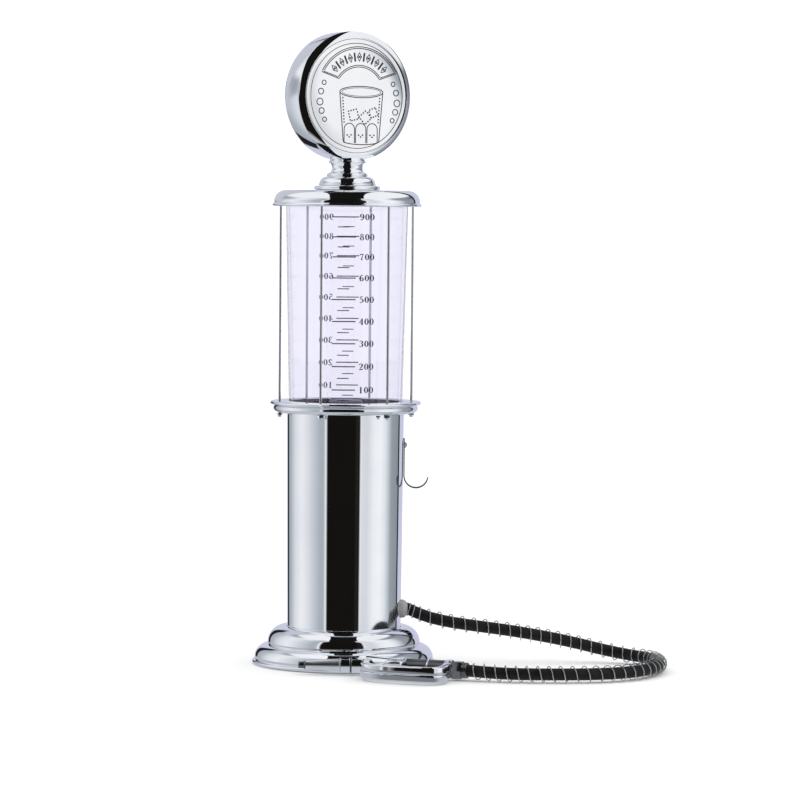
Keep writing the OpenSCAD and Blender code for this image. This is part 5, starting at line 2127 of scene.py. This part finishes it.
@dataclass
class Nozzle:
    """Trigger nozzle that lies in front of the base.

    Attributes:
        hose_end: Hose end of the handle.
        turn: Direction of the handle from +X towards the front.
        bend: Angle between spout and handle.
        handle_l: Length of the handle, from its nose to the hose.
        housing_r: Radius of the housing barrel.
        nose_r: Radius of the opening at its nose.
        grip_r: Radius of the grip tube.
        nut: Ends of the hose nut along the handle.
        nut_r: Corner radius of the nut.
        guard_half: Half width of the guard's bar.
        guard_t: Half its height.
        cheek: Corners and roundings of the plate beside the trigger.
        slot_half: Half width of the trigger's slot.
        pipe_r: Radius of the spout inside its collars.
        collar_r: Radius of the collars.
        band_r: Radius of the band between them.
        band: Ends of the band along the spout.
        cone: Start and end of the spout's cone.
        cone_r: Radius at each end of the cone.
        pin: Place of the trigger's pin.
        spring: Ends of the valve's spring along the handle.
        spring_r: Radius of the spring's middle line.
        spring_wire: Radius of its wire.
        spring_turns: Number of its turns.
        guard: Points of the guard's middle line in the handle's frame.
    """

    hose_end: Point3 = (94.0, -105.0, 7.6)
    turn: float = 20.0
    bend: float = 20.0
    handle_l: float = 81.5
    housing_r: float = 7.6
    nose_r: float = 5.1
    grip_r: float = 6.9
    nut: Point2 = (70.0, 77.4)
    nut_r: float = 7.2
    guard_half: float = 3.0
    guard_t: float = 6.0
    cheek: tuple[Point3, ...] = (
        (19.5, -14.8, 3.0), (33.6, -14.8, 4.0), (35.0, -4.0, 1.0), (19.0, -4.0, 1.0),
    )
    slot_half: float = 2.35
    pipe_r: float = 4.6
    collar_r: float = 5.8
    band_r: float = 6.1
    band: Point2 = (10.4, 11.4)
    cone: Point2 = (19.6, 44.6)
    cone_r: Point2 = (5.15, 3.1)
    pin: Point2 = (27.4, -11.0)
    spring: Point2 = (14.2, 20.7)
    spring_r: float = 2.4
    spring_wire: float = 0.42
    spring_turns: float = 5.5
    guard: tuple[Point2, ...] = (
        (5.0, -6.9), (5.4, -11.0), (7.0, -19.0), (9.8, -27.5), (15.5, -34.2), (24.0, -37.3),
        (34.0, -38.2), (47.0, -38.9), (59.0, -39.2), (66.5, -37.6), (70.3, -33.0), (70.9, -26.5),
        (69.6, -17.0), (68.0, -11.0), (67.3, -6.95),
    )

    def frame(self) -> Matrix:
        """Frame of the handle."""
        return (
            Matrix.Translation(self.hose_end)
            @ Matrix.Rotation(math.radians(-self.turn), 4, "Z")
            @ Matrix.Translation((-self.handle_l, 0, 0))
        )

    def along(self) -> Matrix:
        """Frame whose Z runs along the handle."""
        return self.frame() @ Matrix.Rotation(math.pi / 2, 4, "Y")

    def spout_frame(self) -> Matrix:
        """Frame whose Z runs along the spout to its tip."""
        return (
            self.frame()
            @ Matrix.Rotation(math.radians(self.bend), 4, "Z")
            @ Matrix.Rotation(-math.pi / 2, 4, "Y")
        )

    def build(self) -> None:
        """Make the shells, the spout and the handle's pieces."""
        self.build_shells()
        self.build_spout()
        self.build_handle()
        self.build_trigger()
        self.build_spring()

    def turned(
        self, name: str, profile: Sequence[Point2], finish: Finish, node: str, spout: bool = False
    ) -> None:
        """Turn a piece round the handle's or the spout's line.

        Args:
            name: Name of the piece.
            profile: Its profile.
            finish: Its finish.
            node: CAD node that it stands for, or an empty name for none.
            spout: Whether it sits on the spout.
        """
        place = self.spout_frame() if spout else self.along()
        piece = Mesh.lathe(profile, SMALL_STEPS, place)
        make_piece(name, piece, finish, Body.NOZZLE, [node] if node else [])

    @staticmethod
    def sleeve(inner: float, outer: float, ends: Point2, soft: float, steps: int = 4) -> list[Point2]:
        """Draw a ring with softened edges, the inner ones less than the outer ones.

        Args:
            inner: Its inner radius.
            outer: Its outer radius.
            ends: Its ends along the line.
            soft: Rounding of its outer edges.
            steps: Stretches on each rounding.

        Returns:
            Its profile.
        """
        low, high = ends
        inside = 0.1 if soft > 0.3 else 0.05
        corners = [(inner, low, inside), (outer, low, soft), (outer, high, soft), (inner, high, inside)]
        return rounded(corners, steps)

    def guard_section(self, upper: bool) -> list[Point2]:
        """Draw the section of half the guard's bar.

        Args:
            upper: Whether it is the upper half.

        Returns:
            The section, across the bar and in height.
        """
        half, top = self.guard_half, self.guard_t
        soft = 1.7 if upper else 1.5
        corners = [(-half + 0.3, 0.12, 0.2), (half - 0.3, 0.12, 0.2), (half, 0.7, 0.5)]
        corners += [(half, top, soft), (-half, top, soft), (-half, 0.7, 0.5)]
        section = rounded(corners, 6)
        return section if upper else [(a, -b) for a, b in reversed(section)]

    def build_shells(self) -> None:
        """Make the two halves: guard, trigger cheek, housing barrel and clasp."""
        line = flowing(self.guard, 0.9)
        for half, sign in (("upper", 1), ("lower", -1)):
            low, high = sorted((sign * self.slot_half, sign * (self.guard_t - 0.2)))
            shell = Mesh.bar(line, self.guard_section(sign > 0))
            shell.add(Mesh.prism(rounded(self.cheek, 6), low, high, 1.1))
            shell.add(self.half_barrel(1.0, 33.0, 1.4, sign, self.nose_r))
            shell.add(self.half_barrel(64.9, 69.7, 1.2, sign))
            node = f"nozzle_shell_{half}"
            make_piece(f"{node}_cast", shell.moved(self.frame()), PLATE, Body.NOZZLE, [node], sharp=40)

    def half_barrel(
        self, start: float, stop: float, soft: float, sign: int, nose: float | None = None
    ) -> Mesh:
        """Half of a barrel round the handle, with rounded ends.

        Args:
            start: Where it starts along the handle.
            stop: Where it ends.
            soft: Rounding of its ends.
            sign: +1 for the upper half and -1 for the lower.
            nose: Radius of the opening in the wall at the start, or None for no wall.

        Returns:
            The half barrel as a closed shell.
        """
        r, inner = self.housing_r, self.grip_r + 0.05
        wall, seam, steps = 1.6, 0.12, 32
        ends = [(start, inner)]
        if nose is not None:
            ends = [(start + wall, inner), (start + wall, nose), (start + 0.2, nose), (start, nose + 0.3)]
        ends += [(start, r - soft * 0.6), (start + soft * 0.25, r - soft * 0.2), (start + soft, r)]
        ends += [(stop - soft, r), (stop - soft * 0.25, r - soft * 0.2), (stop, r - soft * 0.6)]
        ends += [(stop, inner)]
        rings = []
        for k in range(steps + 1):
            t = math.pi * k / steps
            lift = seam if k in (0, steps) else 0.0
            rings.append(
                [(x, radius * math.cos(t), sign * max(lift, radius * math.sin(t))) for x, radius in ends]
            )
        return Mesh.rings(rings)

    def build_spout(self) -> None:
        """Turn the spout, its collars, its band and its tip."""
        (start, end), (wide, narrow), rows = self.cone, self.cone_r, 8
        pipe = [(0.0, -5.0)] + arc((0.0, 0.0), 5.0, -80, 24, 18)
        pipe += [(self.pipe_r, 2.6), (self.pipe_r, 18.6), (5.55, 18.8), (5.55, 19.3), (wide, start)]
        pipe += [
            (wide - (wide - narrow) * i / rows, start + (end - start) * i / rows)
            for i in range(1, rows + 1)
        ]
        pipe += [(narrow, end + 0.2), (0.0, end + 0.3)]
        self.turned("spout_cone", pipe, SATIN_PLATE, "spout", True)
        bore = self.pipe_r + 0.06
        for name, ends in (("rear", (2.2, 10.35)), ("front", (11.45, 18.6))):
            collar = self.sleeve(bore, self.collar_r, ends, 0.35)
            self.turned(f"spout_collar_{name}_turned", collar, PLATE, f"spout_collar_{name}", True)
        band = self.sleeve(bore, self.band_r, self.band, 0.4, 5)
        # The band takes the strip steel with the painted dark reflection.
        self.turned("spout_band_ring", band, DARK_REFLECTION_STEEL, "spout_band", True)
        tip = [(0.0, 44.9), (3.0, 44.9), (3.15, 45.3), (3.0, 45.7), (2.75, 46.0)]
        tip += [(2.45, 49.4), (2.6, 49.7), (2.5, 50.1), (2.2, 50.3), (1.5, 50.3), (1.5, 47.0), (0.0, 47.0)]
        self.turned("spout_tip_turned", tip, DARK_STEEL, "spout_tip", True)

    def build_handle(self) -> None:
        """Turn the grip tube, the nut and the ferrule."""
        r, (low, high) = self.grip_r, self.nut
        grip = [(0.0, 30.5), (5.1, 30.5), (5.1, 33.0), (6.6, 33.0), (r, 33.4)]
        grip += [(r, 50.2), (6.6, 50.3), (6.6, 51.6), (r, 51.7), (r, 69.6), (6.6, low), (0.0, low)]
        # The grip tube's near-black finish is a painted reflection of the dark panel.
        self.turned("grip_tube_painted_dark_reflection", grip, PAINTED_REFLECTION_CHROME, "grip_tube")
        rings = {"front": (33.05, 33.9), "middle": (50.35, 51.55), "rear": (64.0, 64.85)}
        for name, ends in rings.items():
            self.turned(f"grip_ring_{name}", self.sleeve(6.62, 7.2, ends, 0.3), PLATE, "")
        nut = Mesh.prism(hexagon(self.nut_r), low, high, 0.5)
        place = self.along() @ Matrix.Rotation(math.radians(30), 4, "Z")
        make_piece("hose_nut_hex", nut.moved(place), DARK_STEEL, Body.NOZZLE, ["hose_nut"])
        ferrule = [(0.0, high)]
        for k in range(4):
            rib = high + 1.02 * k
            ferrule += [(5.55, rib), (5.9, rib + 0.25), (5.9, rib + 0.7), (5.55, rib + 0.95)]
        ferrule += [(5.4, self.handle_l), (0.0, self.handle_l)]
        self.turned("hose_ferrule_ribbed", ferrule, DARK_STEEL, "hose_ferrule")

    def build_trigger(self) -> None:
        """Bend the trigger's finger bar, with rounded edges and a hub on the pin."""
        x, y = self.pin
        steps, reach, drop = 36, 31.6, 14.5
        path = []
        for i in range(steps + 1):
            t = i / steps
            path.append(Vector((x + reach * t, y - drop * t * t * (3 - 2 * t))))
        trigger = Mesh.bar(path, soft_box(2.0, 2.0, 0.9, 4), last=0.55)
        trigger.add(Mesh.prism(arc(self.pin, 2.8, 0, 360, 32)[:-1], -2.2, 2.2, 0.3))
        finger = [(x - 1.1, y), (x + 1.1, y), (x + 1.1, -0.9), (x - 1.1, -0.9)]
        trigger.add(Mesh.prism(finger, -1.8, 1.8, 0.25))
        make_piece("trigger_bar_cast", trigger.moved(self.frame()), PLATE, Body.TRIGGER, ["trigger"])

    def build_spring(self) -> None:
        """Wind the valve's spring between its seat and the stem's stop."""
        (low, high), middle, wire, steps = self.spring, self.spring_r, self.spring_wire, 160
        coil = []
        for i in range(steps + 1):
            t = 2 * math.pi * self.spring_turns * i / steps
            x = low + wire + (high - low - 2 * wire) * i / steps
            coil.append(Vector((x, middle * math.cos(t), middle * math.sin(t))))
        shape = Mesh.tube(coil, wire, 8).moved(self.frame())
        spring = make_piece(
            "valve_spring_wound", shape, GUARD_WIRE, None, ["valve_spring"], sharp=80
        )
        ends = [tuple(c * MM for c in self.frame() @ Vector((x, 0, 0))) for x in (low, high)]
        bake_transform(spring)


# ---- Everything else


@dataclass
class PackedPieces:
    """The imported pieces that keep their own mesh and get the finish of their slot."""

    frame: dict

    def dress(self) -> None:
        """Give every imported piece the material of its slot."""
        for row in self.frame["record"]["subparts"]:
            piece = self.frame["nodes"][row["node"]]
            finish = FINISH_OF_SLOT[row["material_slot"]]
            piece.data.materials.clear()
            piece.data.materials.append(finish.material())
            if not piece.hide_render:
                shade_smooth(piece.data, SHARP_EDGE)
                LOG.info("packed piece %s keeps its mesh, in %s", piece.name, finish.name)


def main() -> None:
    """Build the scene."""
    logging.basicConfig(level=logging.INFO, format="%(name)s: %(message)s")
    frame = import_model()
    Viewpoint().build()
    Studio().build()
    Hose().build()
    for part in (Grommet(), Base(), Column(), Collar(), Tank(), Cap(), Hook(), Neck(), Globe(), Nozzle()):
        LOG.info("building %s", type(part).__name__)
        part.build()
    PackedPieces(frame).dress()


if __name__ == "__main__":
    main()
